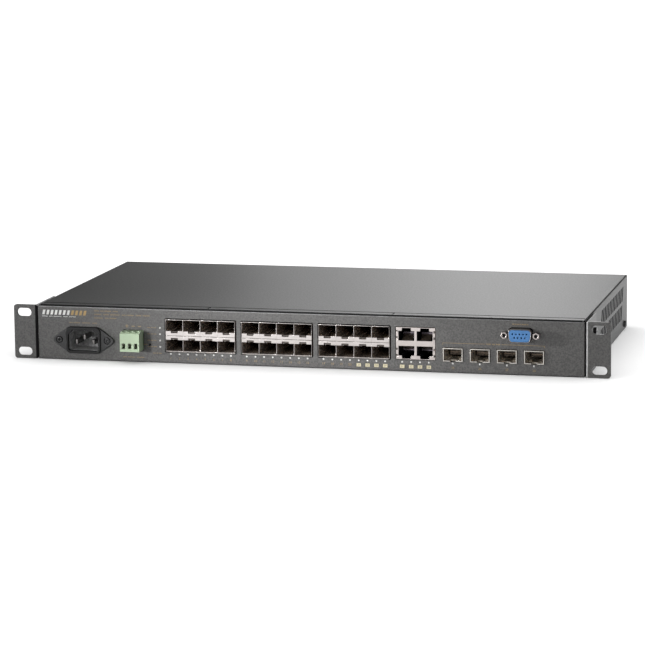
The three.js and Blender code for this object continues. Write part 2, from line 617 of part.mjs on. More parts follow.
// ---- nine-way console connector ----
function addConsolePort() {
  const plateFront = WALL_BACK + GAP;
  const plateBack = plateFront + 1;
  const outer = dOutline(DB9_X, DB9_Z, 17.9, 9.6, 2.2);
  const inner = dOutline(DB9_X, DB9_Z, 16.7, 8.4, 1.7);
  const plate = alongY(rounded(DB9_X, DB9_Z, 30.8, 12.4, 1), plateFront, plateBack);
  const tube = alongY(outer, -DB9_REACH, plateBack);
  const cuts = [alongY(inner, -DB9_REACH - 1, plateBack + 1)];
  for (const side of [-1, 1]) {
    cuts.push(alongY(circle(DB9_X + side * DB9_JACK_OFFSET, DB9_Z, 1.7, 12), 0, plateBack + 1));
  }
  addPiece('console_shell', cut(join([plate, tube]), cuts), NICKEL);

  const face = dOutline(DB9_X, DB9_Z, 16.4, 8.1, 1.6);
  const insert = alongY(face, 1 - DB9_REACH, plateBack + GAP);
  const rear = box(DB9_X - 9.6, DB9_X + 9.6, plateBack + GAP, plateBack + 10, DB9_Z - 5.4, DB9_Z + 5.4);
  const sockets = [];
  for (const [count, rise] of [[5, 1.42], [4, -1.42]]) {
    for (let i = 0; i < count; i += 1) {
      const x = DB9_X + (i - (count - 1) / 2) * 2.77;
      sockets.push(alongY(circle(x, DB9_Z + rise, 0.6, 8), -DB9_REACH, -1));
    }
  }
  addPiece('console_insert', cut(join([insert, rear]), sockets), BLUE_PLASTIC);

  for (const side of [-1, 1]) {
    const x = DB9_X + side * DB9_JACK_OFFSET;
    const hex = alongY(circle(x, DB9_Z, 2.85, 6), -5, 0);
    const shank = alongY(circle(x, DB9_Z, 1.4, 10), -0.5, 8);
    const thread = alongY(circle(x, DB9_Z, 1.4, 10), -6, -1);
    addPiece(`console_jack_${side < 0 ? 'left' : 'right'}`, cut(join([hex, shank]), [thread]), STEEL);
  }
}

// ---- light pipes: a bar behind the panel with one stub for each lamp ----
function addLightPipes() {
  for (const [name, xs] of LED_GROUPS) {
    const stubs = xs.map((x) => alongY(circle(x, LED_ROW_Z, LED_RADIUS, 8), 0.1, 3.4));
    const bar = box(xs[0] - 1.2, xs[xs.length - 1] + 1.2, 3.2, 9, 6.7, 8.3);
    addPiece(`light_pipe_${name}`, join([bar, ...stubs]), CLEAR_PLASTIC);
  }
  const stubs = STATUS_ZS.map((z) => alongY(circle(STATUS_X, z, LED_RADIUS, 8), 0.1, 3.4));
  const bar = box(STATUS_X - 1, STATUS_X + 1, 3.2, 8, 11.6, 29.4);
  const foot = box(STATUS_X - 1, STATUS_X + 1, 7, 14, BOARD_TOP, 13);
  addPiece('light_pipe_status', join([bar, foot, ...stubs]), CLEAR_PLASTIC);
}

// ---- boards and power parts ----
function addBoards() {
  const low = BOARD_TOP - BOARD_THICKNESS;
  const main = [[-132, 11], [212, 11], [212, 190], [-124, 190], [-124, 26], [-132, 26]];
  const chip = box(-28, 8, 92, 128, BOARD_TOP - 0.5, BOARD_TOP + 2);
  addPiece('main_board', alongZ(main, low, BOARD_TOP).add(chip), BOARD_GREEN);
  addPiece('power_board', box(-192, -126, 34, 200, low, BOARD_TOP), BOARD_GREEN);

  const core = box(-178, -144, 100, 132, BOARD_TOP, 33);
  const winding = box(-184, -138, 106, 126, 12, 30);
  addPiece('power_transformer', join([core, winding]), WINDING_YELLOW);
  addPiece('bulk_capacitor', alongZ(circle(-160, 72, 11, 24), BOARD_TOP, 36), BLACK_PLASTIC);

  const plate = box(-134, -131.5, 70, 150, BOARD_TOP, 34);
  const fins = Array.from({ length: 6 }, (unused, i) => box(-143, -133, 74 + i * 14, 75.4 + i * 14, 30, 34));
  addPiece('power_heatsink', join([plate, ...fins]), ALUMINIUM);

  const base = box(-32, 12, 88, 132, BOARD_TOP + 2, BOARD_TOP + 5);
  const blades = Array.from({ length: 10 }, (unused, i) => (
    box(-32 + i * 4.7, -30.7 + i * 4.7, 88, 132, BOARD_TOP + 4, BOARD_TOP + 19)));
  addPiece('chip_heatsink', join([base, ...blades]), ALUMINIUM);
}

// ---- side fans: a square frame with a motor spider, and a bladed rotor that turns about X ----
function addFan(y, number) {
  const x0 = FAN_OUTER_X;
  const x1 = FAN_OUTER_X + FAN_THICKNESS;
  const bore = circle(y, FAN_Z, FAN_BORE, 32);
  const frame = alongX(rounded(y, FAN_Z, FAN_SIZE, FAN_SIZE, 2), x0, x1, [bore]);
  const struts = [0, 1, 2].map((i) => {
    const angle = Math.PI / 6 + (i * 2 * Math.PI) / 3;
    const reach = FAN_BORE + 0.4;
    const tangent = [-Math.sin(angle) * 1.2, Math.cos(angle) * 1.2];
    const end = [y + Math.cos(angle) * reach, FAN_Z + Math.sin(angle) * reach];
    return alongX([
      [y - tangent[0], FAN_Z - tangent[1]], [end[0] - tangent[0], end[1] - tangent[1]],
      [end[0] + tangent[0], end[1] + tangent[1]], [y + tangent[0], FAN_Z + tangent[1]],
    ], x1 - 2.4, x1);
  });
  const motor = alongX(circle(y, FAN_Z, FAN_HUB, 24), x1 - 2.4, x1);
  const corners = [[-1, -1], [1, -1], [1, 1], [-1, 1]].map(([a, b]) => (
    alongX(circle(y + a * 16, FAN_Z + b * 16, 1.7, 8), x0 - 1, x1 + 1)));
  addPiece(`fan_frame_${number}`, cut(join([frame, motor, ...struts]), corners), BLACK_PLASTIC);

  const hubFront = x0 + 1.5;
  const hubBack = x1 - 3;
  const hub = alongX(circle(y, FAN_Z, FAN_HUB, 24), hubFront, hubBack);
  const blades = Array.from({ length: FAN_BLADES }, (unused, i) => fanBlade(y, i, hubFront + 1, hubBack - 1));
  addPiece(`fan_rotor_${number}`, join([hub, ...blades]), BLACK_PLASTIC);
}

// A blade is a thin slab that sweeps round the hub as it goes from the front of the rotor to its back.
function fanBlade(y, index, front, back) {
  const steps = 3;
  const sweep = 0.55;
  const thickness = 0.09;
  const slices = [];
  for (let k = 0; k < steps; k += 1) {
    const x0 = front + ((back - front) * k) / steps;
    const x1 = front + ((back - front) * (k + 1)) / steps + 0.05;
    const angle = (index * 2 * Math.PI) / FAN_BLADES + (sweep * k) / steps;
    const width = sweep / steps + thickness;
    const outline = [
      ...arc(y, FAN_Z, FAN_TIP, angle, angle + width, 1),
      ...arc(y, FAN_Z, FAN_HUB - 1, angle + width, angle, 1),
    ];
    slices.push(alongX(outline, x0, x1));
  }
  return join(slices);
}

addChassis();
addFrontPanel();
addCover();
addEarsAndScrews();
addInlet();
addTerminalBlock();
addResetSwitch();
SFP_BLOCK_CENTRES.forEach((centre, i) => addSfpBlock(centre, i + 1));
addRj45Block();
addSfpPlusCages();
addConsolePort();
addLightPipes();
addBoards();
FAN_YS.forEach((y, i) => addFan(y, i + 1));

export default assembly;
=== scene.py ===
"""Looks of a rackmount network switch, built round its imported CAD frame.

Drawing functions take millimetres in a drawing frame: X to the right, Y from the front plane
to the rear, Z up. place() turns such a point into a point of the shared frame, in metres.
"""
import math
from collections import namedtuple

import bmesh
import bpy
from mathutils import Matrix, Vector
from mathutils.geometry import tessellate_polygon


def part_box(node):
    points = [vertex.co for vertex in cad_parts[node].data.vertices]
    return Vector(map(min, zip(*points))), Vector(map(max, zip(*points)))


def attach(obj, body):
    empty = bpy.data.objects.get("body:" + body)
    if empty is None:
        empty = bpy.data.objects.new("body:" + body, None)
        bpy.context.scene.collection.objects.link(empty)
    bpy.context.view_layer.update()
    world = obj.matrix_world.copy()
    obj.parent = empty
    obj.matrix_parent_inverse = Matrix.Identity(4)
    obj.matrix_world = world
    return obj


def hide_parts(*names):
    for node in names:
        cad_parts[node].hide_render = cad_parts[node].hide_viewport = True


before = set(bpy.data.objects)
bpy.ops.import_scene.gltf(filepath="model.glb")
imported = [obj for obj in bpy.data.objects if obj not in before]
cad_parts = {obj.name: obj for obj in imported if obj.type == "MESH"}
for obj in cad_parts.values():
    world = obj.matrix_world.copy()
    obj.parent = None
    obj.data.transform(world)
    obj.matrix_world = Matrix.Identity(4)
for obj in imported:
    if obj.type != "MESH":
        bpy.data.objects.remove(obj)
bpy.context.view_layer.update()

MM = 0.001
FRONT_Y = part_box("front_panel")[0].y
CHASSIS = "chassis"
SIDES = ((-1, "left"), (1, "right"))


def place(x, y, z):
    return Vector((x * MM, y * MM + FRONT_Y, z * MM))


def middle(low, high):
    return (low + high) / 2


def rectangle(a0, a1, b0, b1):
    return [(a0, b0), (a1, b0), (a1, b1), (a0, b1)]


class Span(namedtuple("Span", "x0 x1 y0 y1 z0 z1")):
    """A box in drawing millimetres; x, y and z are its middle."""
    x = property(lambda self: middle(self.x0, self.x1))
    y = property(lambda self: middle(self.y0, self.y1))
    z = property(lambda self: middle(self.z0, self.z1))

    def front(self, margin=0):
        """Its outline from the front, drawn in by margin."""
        return rectangle(self.x0 + margin, self.x1 - margin, self.z0 + margin, self.z1 - margin)


def span(node):
    """A CAD node's box."""
    low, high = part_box(node)
    return Span(low.x / MM, high.x / MM, (low.y - FRONT_Y) / MM, (high.y - FRONT_Y) / MM,
                low.z / MM, high.z / MM)


# ---- outlines, in millimetres
D_LEAN = 3.5
D_TURN = 10
NARROWEST_MITRE = 0.2


def arc(a, b, radius, start, end, steps):
    """Points on an arc; start and end are in degrees."""
    angles = [math.radians(start + (end - start) * i / steps) for i in range(steps + 1)]
    return [(a + radius * math.cos(angle), b + radius * math.sin(angle)) for angle in angles]


def circle(a, b, radius, sides=24, turn=0):
    return arc(a, b, radius, turn, turn + 360 - 360 / sides, sides - 1)


def rounded(a, b, width, height, radius, steps=5):
    da = width / 2 - radius
    db = height / 2 - radius
    points = []
    for i, (sa, sb) in enumerate(((1, 1), (-1, 1), (-1, -1), (1, -1))):
        points += arc(a + sa * da, b + sb * db, radius, 90 * i, 90 * i + 90, steps)
    return points


def obround(a, b, length, width):
    reach = (length - width) / 2
    return arc(a + reach, b, width / 2, -90, 90, 12) + arc(a - reach, b, width / 2, 90, 270, 12)


def d_outline(a, b, width, height, radius):
    """The D of a nine-way connector: wide on top, with sides that lean in towards the bottom."""
    top = width / 2 - radius
    bottom = top - height * math.tan(math.radians(D_LEAN))
    rise = height / 2 - radius
    return (arc(a + top, b + rise, radius, -D_TURN, 90, 6)
            + arc(a - top, b + rise, radius, 90, 180 + D_TURN, 6)
            + arc(a - bottom, b - rise, radius, 180 + D_TURN, 270, 6)
            + arc(a + bottom, b - rise, radius, 270, 360 - D_TURN, 6))


def signed_area(points):
    edges = zip(points, points[1:] + points[:1])
    return sum(a0 * b1 - a1 * b0 for (a0, b0), (a1, b1) in edges) / 2


def inset(points, amount):
    """Moves every edge to its left by amount, with mitred corners."""
    moved = []
    count = len(points)
    for i in range(count):
        here = Vector(points[i])
        before = (here - Vector(points[i - 1])).normalized()
        after = (Vector(points[(i + 1) % count]) - here).normalized()
        left = Vector((-before.y - after.y, before.x + after.x))
        scale = 1 + before.dot(after)
        moved.append(tuple(here + left * (amount / max(scale, NARROWEST_MITRE))))
    return moved


def ribbon(path, thickness):
    """The outline of a strip of even thickness that follows a path."""
    sides = ([], [])
    for i, here in enumerate(path):
        before = path[max(i - 1, 0)]
        after = path[min(i + 1, len(path) - 1)]
        along = (Vector(after) - Vector(before)).normalized() * (thickness / 2)
        sides[0].append((here[0] - along.y, here[1] + along.x))
        sides[1].append((here[0] + along.y, here[1] - along.x))
    return sides[0] + sides[1][::-1]


# ---- mesh building
TO_DRAWING = {
    "X": lambda a, b, c: (c, a, b),
    "Y": lambda a, b, c: (a, c, b),
    "Z": lambda a, b, c: (a, b, c),
}
SEEN_ALONG = {"X": (1, 2), "Y": (0, 2), "Z": (0, 1)}
SHADED_SHARP = math.radians(38)
BEVELLED_SHARP = math.radians(40)
FLAT_ENOUGH = math.radians(1)
SAME_POINT = 1e-6


def edge_rings(low, high, front, back, steps):
    """The (inset, depth) rings that round a plate's front and back edges."""
    rings = []
    for k in range(steps + 1):
        turn = math.radians(90 * k / steps)
        rings.append((front * (1 - math.sin(turn)), low + front * (1 - math.cos(turn))))
    for k in range(steps + 1):
        turn = math.radians(90 - 90 * k / steps)
        rings.append((back * (1 - math.sin(turn)), high - back * (1 - math.cos(turn))))
    return rings


def add_object(name, data):
    thing = bpy.data.objects.new(name, data)
    bpy.context.scene.collection.objects.link(thing)
    return thing


def evaluated_mesh(thing):
    bpy.context.view_layer.update()
    graph = bpy.context.evaluated_depsgraph_get()
    return bpy.data.meshes.new_from_object(thing.evaluated_get(graph))


def turn_outwards(mesh):
    work = bmesh.new()
    work.from_mesh(mesh)
    bmesh.ops.recalc_face_normals(work, faces=work.faces)
    work.to_mesh(mesh)
    work.free()


class Builder:
    """Collects closed shells in drawing millimetres and turns them into one object."""

    def __init__(self):
        self.points = []
        self.faces = []
        self.slots = []

    def add_points(self, axis, loop, depth):
        first = len(self.points)
        self.points += [TO_DRAWING[axis](a, b, depth) for a, b in loop]
        return list(range(first, len(self.points)))

    def add_face(self, corners, slot):
        self.faces.append(corners)
        self.slots.append(slot)

    def bridge(self, one, two, slot):
        count = len(one)
        for i in range(count):
            j = (i + 1) % count
            self.add_face([one[i], one[j], two[j], two[i]], slot)

    def plate(self, outlines, low, high, axis="Y", edge=0.2, steps=2, slot=0, hole_slot=None,
              back_edge=None, hole_edge=None):
        """A sheet with rounded edges: outlines[0] is its outside and the others are holes through it."""
        back_edge = edge if back_edge is None else back_edge
        hole_edge = edge if hole_edge is None else hole_edge
        caps = [[], []]
        for number, outline in enumerate(outlines):
            if (signed_area(outline) > 0) != (number == 0):
                outline = outline[::-1]
            wall_slot = slot if number == 0 or hole_slot is None else hole_slot
            rings = edge_rings(low, high, hole_edge if number else edge, back_edge, steps)
            loops = [self.add_points(axis, inset(outline, amount), depth) for amount, depth in rings]
            for k, (one, two) in enumerate(zip(loops, loops[1:])):
                self.bridge(one, two, wall_slot if k == steps else slot)
            caps[0].append(loops[0])
            caps[1].append(loops[-1])
        p, q = SEEN_ALONG[axis]
        for loops in caps:
            flat = [[Vector((self.points[i][p], self.points[i][q], 0)) for i in loop] for loop in loops]
            order = [i for loop in loops for i in loop]
            for triangle in tessellate_polygon(flat):
                self.add_face([order[i] for i in triangle], slot)

    def block(self, x0, x1, y0, y1, z0, z1, edge=0.2, slot=0):
        self.plate([rectangle(x0, x1, z0, z1)], y0, y1, edge=edge, slot=slot)

    def solid(self, outline, low, high, axis="Y"):
        """A prism with sharp edges, for carve."""
        self.plate([outline], low, high, axis, edge=0)

    def lathe(self, a, b, profile, sides, slot=0):
        """Turns a profile of (radius, depth) points about a line along Y; its ends close on that line."""
        loops = []
        for radius, depth in profile:
            ring = circle(a, b, radius, sides) if radius else [(a, b)]
            loops.append(self.add_points("Y", ring, depth))
        for one, two in zip(loops, loops[1:]):
            if len(one) == 1 or len(two) == 1:
                tip, ring = (one[0], two) if len(one) == 1 else (two[0], one)
                for i in range(len(ring)):
                    self.add_face([tip, ring[i], ring[(i + 1) % len(ring)]], slot)
            else:
                self.bridge(one, two, slot)

    def strip(self, path, at, half, thickness, axis="X", slot=0):
        """A thin bent strip: path is its side view, and it reaches half its width either way from at."""
        edge = min(0.04, thickness / 4)
        self.plate([ribbon(path, thickness)], at - half, at + half, axis, edge, 1, slot)

    def mesh(self, name):
        mesh = bpy.data.meshes.new(name)
        mesh.from_pydata([place(*p) for p in self.points], [], self.faces)
        return mesh

    def loose(self, name):
        """The shells as an object that rides on nothing, for a boolean."""
        mesh = self.mesh(name)
        turn_outwards(mesh)
        return add_object(name, mesh)

    def make(self, name, *materials, **seat):
        mesh = self.mesh(name)
        for material in materials:
            mesh.materials.append(material)
        mesh.polygons.foreach_set("material_index", self.slots)
        return finish_piece(name, mesh, **seat)


def finish_piece(name, mesh, body=CHASSIS, replaces=(), paint=None):
    """Shades a mesh and sets it on its CAD body; paint, the name of its paint slot, is not used."""
    turn_outwards(mesh)
    mesh.shade_smooth()
    mesh.set_sharp_from_angle(angle=SHADED_SHARP)
    piece = add_object(name, mesh)
    weighted = piece.modifiers.new("even_shading", "WEIGHTED_NORMAL")
    weighted.keep_sharp = True
    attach(piece, body)
    if replaces:
        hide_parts(*replaces)
    return piece


def carve(name, base, cutters, bevel, material, keep=None, **seat):
    """A solid with others cut out of it (or kept only inside keep), with its edges bevelled."""
    target = base.loose("carve_base")
    tools = [(part.loose("carve_tool"), "DIFFERENCE") for part in cutters]
    if keep:
        tools.append((keep.loose("carve_keep"), "INTERSECT"))
    for tool, operation in tools:
        step = target.modifiers.new(operation, "BOOLEAN")
        step.operation = operation
        step.solver = "EXACT"
        step.use_self = True
        step.object = tool
    mesh = evaluated_mesh(target)
    mesh.name = name
    for loose in [target] + [tool for tool, operation in tools]:
        bpy.data.objects.remove(loose)
    work = bmesh.new()
    work.from_mesh(mesh)
    bmesh.ops.remove_doubles(work, verts=work.verts, dist=SAME_POINT)
    bmesh.ops.dissolve_limit(work, angle_limit=FLAT_ENOUGH, verts=work.verts, edges=work.edges)
    sharp_edges = [edge for edge in work.edges
                   if len(edge.link_faces) == 2 and edge.calc_face_angle(0) > BEVELLED_SHARP]
    bmesh.ops.bevel(work, geom=sharp_edges, offset=bevel * MM, segments=2, affect="EDGES", profile=0.5,
                    clamp_overlap=True)
    work.to_mesh(mesh)
    work.free()
    mesh.materials.clear()
    mesh.materials.append(material)
    return finish_piece(name, mesh, **seat)


def refinish(piece, material, chosen):
    """Gives the faces that chosen(centre, normal) picks another material, to paint light or shade on them;
    the centre is in metres.
    """
    piece.data.materials.append(material)
    slot = len(piece.data.materials) - 1
    for polygon in piece.data.polygons:
        if chosen(polygon.center, polygon.normal):
            polygon.material_index = slot


# ---- materials
ROUGH_SPREAD = 0.06
BUMP_STRENGTH = 0.6


def set_inputs(node, **values):
    """Sets a node's sockets by name, with _ for each space."""
    for name, value in values.items():
        node.inputs[name.replace("_", " ")].default_value = value


def surface(name, colour, roughness, metallic, grain, bump, mottle=70, shade=0.10, stretch=(1, 1, 1),
            specular=0.5, second=None, ramp=(0.35, 0.65)):
    """A procedural finish: broad colour mottling, and fine grain in roughness and height.

    grain and mottle are noise scales, bump is the grain's height in millimetres, shade is how far the
    mottling strays from the colour, and second is the light end's colour where shade doesn't set it.
    """
    material = bpy.data.materials.new(name)
    material.use_nodes = True
    nodes = material.node_tree.nodes
    links = material.node_tree.links
    shader = nodes["Principled BSDF"]
    set_inputs(shader, Metallic=metallic, Specular_IOR_Level=specular)
    where = nodes.new("ShaderNodeTexCoord")
    mapping = nodes.new("ShaderNodeMapping")
    set_inputs(mapping, Scale=stretch)
    links.new(where.outputs["Object"], mapping.inputs["Vector"])

    def noise(scale, detail):
        node = nodes.new("ShaderNodeTexNoise")
        set_inputs(node, Scale=scale, Detail=detail)
        links.new(mapping.outputs["Vector"], node.inputs["Vector"])
        return node

    broad = noise(mottle, 3)
    fine = noise(grain, 2)
    blend = nodes.new("ShaderNodeValToRGB")
    dark = [c * (1 - shade) for c in colour]
    light = second or [min(1, c * (1 + shade)) for c in colour]
    for stop, at, tint in zip(blend.color_ramp.elements, ramp, (dark, light)):
        stop.position = at
        stop.color = (*tint, 1)
    links.new(broad.outputs["Fac"], blend.inputs["Fac"])
    links.new(blend.outputs["Color"], shader.inputs["Base Color"])
    rough = nodes.new("ShaderNodeMapRange")
    set_inputs(rough, To_Min=roughness - ROUGH_SPREAD, To_Max=roughness + ROUGH_SPREAD)
    links.new(fine.outputs["Fac"], rough.inputs["Value"])
    links.new(rough.outputs["Result"], shader.inputs["Roughness"])
    height = nodes.new("ShaderNodeBump")
    set_inputs(height, Strength=BUMP_STRENGTH, Distance=bump * MM)
    links.new(fine.outputs["Fac"], height.inputs["Height"])
    links.new(height.outputs["Normal"], shader.inputs["Normal"])
    return material


def metal(name, colour, roughness, metallic, bump, shade, grain=900, stretch=(1, 1, 1)):
    return surface(name, colour, roughness, metallic, grain, bump, shade=shade, stretch=stretch)


def plastic(name, colour, roughness, grain, bump, shade, specular=0.5):
    return surface(name, colour, roughness, 0, grain, bump, shade=shade, specular=specular)


def ink(name, colour, shade, roughness=0.55):
    return surface(name, colour, roughness, 0, 2500, 0.004, shade=shade)


PANEL = surface("panel_powder", (0.088, 0.086, 0.084), 0.36, 0, 1500, 0.06, mottle=850, shade=0.3)
COVER = surface("cover_powder", (0.085, 0.085, 0.085), 0.42, 0, 1300, 0.06, mottle=750, shade=0.28,
                stretch=(1, 0.6, 1))
# painted shade: a dark brown copy of the cage metal, with light speckles, for the insides of the ports
CAGE_SHADE = surface("cage_inside", (0.17, 0.14, 0.12), 0.5, 0.3, 700, 0.02, mottle=1000, shade=0.6,
                    second=(0.8, 0.66, 0.54), ramp=(0.46, 0.66))
# painted light: a pale, barely metallic brown for the inside of the nickel cages, so that their lit insides
# read bright
PLUS_LIT_INSIDE = surface("plus_cage_painted_light", (0.7, 0.6, 0.49), 0.5, 0.2, 700, 0.02, mottle=500, shade=0.6,
                    second=(0.95, 0.88, 0.76))
SOCKET = surface("module_socket", (0.26, 0.225, 0.19), 0.5, 0, 900, 0.02, mottle=600, shade=0.6)
# painted highlight: a pale semi-metal for rounded edges, standing in for the bright lines of light along
# them
EDGE_HIGHLIGHT = surface("painted_edge_highlight", (0.3, 0.3, 0.3), 0.33, 0.7, 1500, 0.02, mottle=900, shade=0.15)
# painted light: a light grey on the black plastic inlet's well walls and floor, so that they read as lit
INLET_BACK_LIGHT = surface("inlet_back_painted_light", (0.42, 0.42, 0.422), 0.5, 0, 1600, 0.02, mottle=500, shade=0.3)
BOARD = surface("solder_mask", (0.02, 0.12, 0.055), 0.35, 0, 400, 0.03, mottle=300, shade=0.35)
FLOOR = surface("studio_floor", (0.9, 0.9, 0.9), 0.9, 0, 60, 0.01, mottle=3, shade=0.01, specular=0.1)
NICKEL = metal("cage_nickel", (0.44, 0.412, 0.4), 0.3, 1, 0.006, 0.05)
SHIELD = metal("jack_shield", (0.45, 0.41, 0.395), 0.32, 1, 0.006, 0.05)
PLUS_NICKEL = metal("plus_cage_nickel", (0.46, 0.44, 0.41), 0.34, 1, 0.006, 0.06)
# painted shade: a near black copy of the cage metal for the latch tabs, which sit in their notches
LATCH_SHADE = metal("latch_tab", (0.07, 0.058, 0.05), 0.45, 0.4, 0.006, 0.15)
SCREW_BLACK = metal("black_oxide", (0.035, 0.035, 0.036), 0.24, 0.6, 0.01, 0.1)
# painted shade: a darkened copy of nickel plating for the inlet's blades, which sit in its recess
SHADED_BLADE = metal("inlet_blade", (0.15, 0.145, 0.14), 0.3, 1, 0.004, 0.05, grain=700)
CONTACT = metal("jack_contact", (0.34, 0.26, 0.2), 0.35, 0.8, 0.004, 0.06)
STEEL = metal("zinc_steel", (0.62, 0.61, 0.59), 0.32, 1, 0.01, 0.06)
# painted shade: darkened steel for the cages' top springs and the jack posts' threaded holes
SHADED_STEEL = metal("steel_painted_shade", (0.1, 0.1, 0.102), 0.4, 0.7, 0.01, 0.1)
BRASS = metal("gold_contact", (0.75, 0.52, 0.18), 0.28, 1, 0.004, 0.06)
CHROME = metal("nickel_blade", (0.5, 0.48, 0.46), 0.25, 1, 0.004, 0.05, grain=700)
FINNED = metal("heatsink_metal", (0.55, 0.55, 0.56), 0.4, 1, 0.02, 0.1, stretch=(1, 0.1, 1))
# painted shade: a matt black put in gaps, slots, undercuts and recesses that are only dark with shade
PAINTED_SHADE = plastic("painted_shade_black", (0.016, 0.016, 0.017), 0.8, 1600, 0.02, 0.15, specular=0.1)
BLACK = plastic("black_plastic", (0.012, 0.012, 0.013), 0.42, 1600, 0.02, 0.15)
# painted shade: a darker copy of the inlet plastic for the collar's front face
COLLAR_SHADE = plastic("collar_painted_shade", (0.013, 0.013, 0.0135), 0.46, 1600, 0.02, 0.12, specular=0.22)
INLET_BLACK = plastic("inlet_plastic", (0.042, 0.042, 0.043), 0.46, 1600, 0.02, 0.12, specular=0.3)
CARRIER = plastic("contact_carrier", (0.17, 0.14, 0.17), 0.45, 1200, 0.01, 0.1)
GREEN = plastic("green_plastic", (0.455, 0.575, 0.395), 0.42, 1500, 0.015, 0.05)
BLUE = plastic("blue_plastic", (0.083, 0.25, 0.56), 0.4, 1500, 0.01, 0.06)
LAMP = plastic("lamp_window", (0.8, 0.8, 0.77), 0.25, 1200, 0.004, 0.04)
SLEEVE = plastic("capacitor_sleeve", (0.02, 0.022, 0.03), 0.3, 600, 0.01, 0.1)
TAPE = plastic("winding_tape", (0.55, 0.38, 0.06), 0.5, 600, 0.02, 0.1)
GOLD_PRINT = ink("gold_print", (0.3, 0.215, 0.11), 0.12)
GOLD_BAR = ink("gold_bar_print", (0.46, 0.31, 0.12), 0.12)
WHITE_PRINT = ink("white_print", (0.94, 0.94, 0.92), 0.04)
DARK_PRINT = ink("dark_print", (0.1, 0.09, 0.07), 0.1, roughness=0.6)
LABEL = ink("pale_gold_print", (0.62, 0.56, 0.38), 0.08)

# ---- sizes read from the frame, and pitches
BODY = span("top_cover")
SHEET = span("front_panel")
PLUG = span("terminal_plug")
INLET = span("inlet_housing")
SFP_BOXES = [span(f"sfp_cage_{i}") for i in (1, 2, 3)]
RJ_BOX = span("rj45_shield")
PLUS_BOXES = [span(f"sfp_plus_cage_{i}") for i in (1, 2, 3, 4)]
CONSOLE = span("console_shell")
EAR = span("rack_ear_right")
RESET = span("reset_button")
STATUS = span("light_pipe_status")
STATUS_ZS = (12.8, 17.9, 23, 28.1)
PORT_PITCH = 14.25
LED_PITCH = 7.08
LED_Z = span("light_pipe_rj45").z
LENS_RADIUS = 0.6
LENS_HOLE = LENS_RADIUS + 0.1
SCREW_OFFSET = 20
JACK_OFFSET = 12.5
LAMP_ROWS = {f"sfp_{i + 1}": [box.x + (k - 3.5) * LED_PITCH for k in range(8)]
             for i, box in enumerate(SFP_BOXES)}
LAMP_ROWS["rj45"] = [77.8, 85, 92, 99]
LAMP_ROWS["sfp_plus"] = [box.x for box in PLUS_BOXES]

# ---- sheet metal
PANEL_TOP = 43
GROOVE_BACK = 4
FLANGE_REACH = 219
# low and high edge of the black strip of painted shade in the groove behind the panel's top edge
GROOVE_SHADE_HEIGHTS = (42.4, 43.88)
# low and high edge of the pale strip of painted highlight on the flange's front fold
FOLD_HIGHLIGHT_HEIGHTS = (43.4, 43.92)
SCREW_HOLE = 1.7
# each hole's width, height and corner radius
INLET_HOLE = (28.2, 20.4, 1.5)
PLUG_HOLE = (17, 16.5, 0.6)
COPPER_HOLE = (32, 26.2, 0.5)
CONSOLE_HOLE = (19.4, 11.4, 2.6)
CAGE_HOLE = (58.9, 27.4, 1)
PLUS_HOLE = (16.4, 11.4, 0.4)


def build_panel():
    holes = [
        rounded(INLET.x, INLET.z, *INLET_HOLE),
        rounded(PLUG.x, PLUG.z, *PLUG_HOLE),
        circle(RESET.x, RESET.z, 0.9, 20),
        rounded(RJ_BOX.x, RJ_BOX.z, *COPPER_HOLE),
        d_outline(CONSOLE.x, CONSOLE.z, *CONSOLE_HOLE),
    ]
    for side, _ in SIDES:
        holes.append(circle(INLET.x + side * SCREW_OFFSET, INLET.z, SCREW_HOLE, 20))
        holes.append(circle(CONSOLE.x + side * JACK_OFFSET, CONSOLE.z, SCREW_HOLE, 20))
    holes += [rounded(box.x, box.z, *CAGE_HOLE) for box in SFP_BOXES]
    holes += [rounded(box.x, box.z, *PLUS_HOLE) for box in PLUS_BOXES]
    holes += [circle(STATUS.x, z, LENS_HOLE, 16) for z in STATUS_ZS]
    for row in LAMP_ROWS.values():
        holes += [circle(x, LED_Z, LENS_HOLE, 16) for x in row]
    thick = SHEET.y1 - SHEET.y0
    outline = rectangle(SHEET.x0, SHEET.x1, SHEET.z0, PANEL_TOP)
    sheet = Builder()
    sheet.plate([outline] + holes, SHEET.y0, SHEET.y1, edge=thick * 0.7, steps=5, back_edge=0.1,
                hole_edge=0.2)
    piece = sheet.make("front_sheet", PANEL, replaces=["front_panel"], paint="panel_paint")
    # painted highlight: the upward faces of the rounded top edge get the pale highlight material
    rim = (PANEL_TOP - thick) * MM
    refinish(piece, EDGE_HIGHLIGHT, lambda centre, normal: centre.z > rim and normal.z > 0.25 and normal.y < -0.05)
    # painted shade: a matt black strip in the groove, for the dark line of shade behind the panel's top
    # edge
    groove_shade = Builder()
    groove_shade.block(-FLANGE_REACH, FLANGE_REACH, SHEET.y1 + 0.2, GROOVE_BACK - 0.1, *GROOVE_SHADE_HEIGHTS, 0.1)
    groove_shade.make("groove_painted_shade", PAINTED_SHADE)
    # painted highlight: a thin pale strip along the flange's front fold, for its bright line of light
    fold_highlight = Builder()
    fold_highlight.block(-FLANGE_REACH, FLANGE_REACH, GROOVE_BACK - 0.08, GROOVE_BACK + 0.9, *FOLD_HIGHLIGHT_HEIGHTS, 0.25)
    fold_highlight.make("flange_fold_highlight", EDGE_HIGHLIGHT)


# each band of vents: its low and high edge, and the rear of its last slot
VENT_BANDS = ((11, 22.7, 199.5), (25.8, 37.5, 205))
VENT_COUNT = 14
VENT_PITCH = 8.9
VENT_SLOT = 5.1
VENT_LEAN = 0.42
COVER_FRONT = 12.9
COVER_GAUGE = 1.2
COVER_BEND = 1.3


